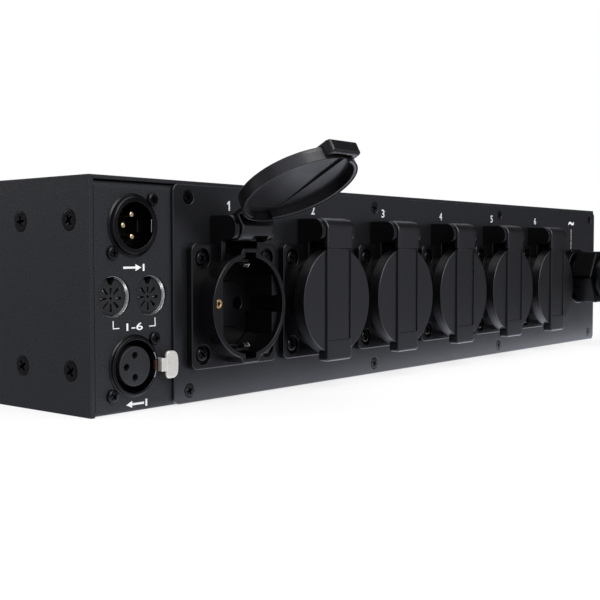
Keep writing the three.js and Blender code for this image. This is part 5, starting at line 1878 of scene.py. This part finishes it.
        for level, _ in self.strip_light[1:-1]:
            stops.new((level - start) / (end - start))
        for stop, (_, strength) in zip(stops, self.strip_light):
            stop.color = [strength / brightest * tint / max(self.cast) for tint in self.cast] + [1]
        links.new(along.outputs["Result"], ramp.inputs[0])
        lit = nodes.new("ShaderNodeVectorMath")
        lit.operation = "SCALE"
        lit.inputs["Scale"].default_value = brightest * max(self.cast)
        links.new(ramp.outputs["Color"], lit.inputs[0])
        glossy = self.blend(nodes, links, close.outputs[0], room.outputs[0], lit.outputs["Vector"])
        path = nodes.new("ShaderNodeLightPath")
        return self.blend(nodes, links, path.outputs["Is Glossy Ray"], (1, 1, 1, 1), glossy)

    def floor(self, around: bpy.types.NodeTree) -> None:
        """Lay a white floor that keeps the shadow.

        Args:
            around: The group of the surroundings.
        """
        mesh = bpy.data.meshes.new("floor")
        mesh.from_pydata([(-6, -6, 0), (6, -6, 0), (6, 6, 0), (-6, 6, 0)], [], [(0, 1, 2, 3)])
        material = bpy.data.materials.new("white_floor")
        material.use_nodes = True
        nodes, links = material.node_tree.nodes, material.node_tree.links
        paint = nodes["Principled BSDF"]
        paint.inputs["Base Color"].default_value = (0.9, 0.9, 0.9, 1)
        paint.inputs["Roughness"].default_value = 0.8
        paint.inputs["Specular IOR Level"].default_value = 0.1
        glow = nodes.new("ShaderNodeEmission")
        links.new(self.gleam(nodes, links, around), glow.inputs["Color"])
        share = nodes.new("ShaderNodeMath")
        share.operation = "MULTIPLY"
        share.inputs[1].default_value = 0.75
        links.new(self.seen(nodes, links), share.inputs[0])
        path = nodes.new("ShaderNodeLightPath")
        whole = nodes.new("ShaderNodeMath")
        whole.operation = "MAXIMUM"
        links.new(share.outputs[0], whole.inputs[0])
        links.new(path.outputs["Is Glossy Ray"], whole.inputs[1])
        mix = nodes.new("ShaderNodeMixShader")
        links.new(whole.outputs[0], mix.inputs[0])
        links.new(paint.outputs[0], mix.inputs[1])
        links.new(glow.outputs[0], mix.inputs[2])
        links.new(mix.outputs[0], nodes["Material Output"].inputs["Surface"])
        mesh.materials.append(material)
        floor = bpy.data.objects.new("floor", mesh)
        bpy.context.scene.collection.objects.link(floor)

    def build(self) -> None:
        """Set up the studio."""
        bpy.context.scene.view_settings.view_transform = "Standard"
        self.camera()
        self.lights()
        around = self.around()
        self.world(around)
        self.floor(around)


def corners(bounds: tuple[Vector, Vector]) -> list[list[float]]:
    """Give a box as plain lists of numbers."""
    return [[float(value) for value in corner] for corner in bounds]


def main() -> None:
    """Build the dressed pack."""
    logging.basicConfig(level=logging.INFO, format="%(name)s %(message)s")
    case = Case()
    palette = Palette()
    bench = Bench(palette)
    repeater = Repeater(palette)
    Studio().build()
    SheetMetal(case, bench, repeater).build()
    for index in range(6):
        Outlet(index + 1, 71.3 + 55 * index, case, bench, repeater).build()
    ControlBay(case, bench, repeater).build()
    CableGland(case, bench).build()
    FrontControls(case, bench).build()
    Inside(bench).build()
    Print(case, bench).build()


if __name__ == "__main__":
    main()
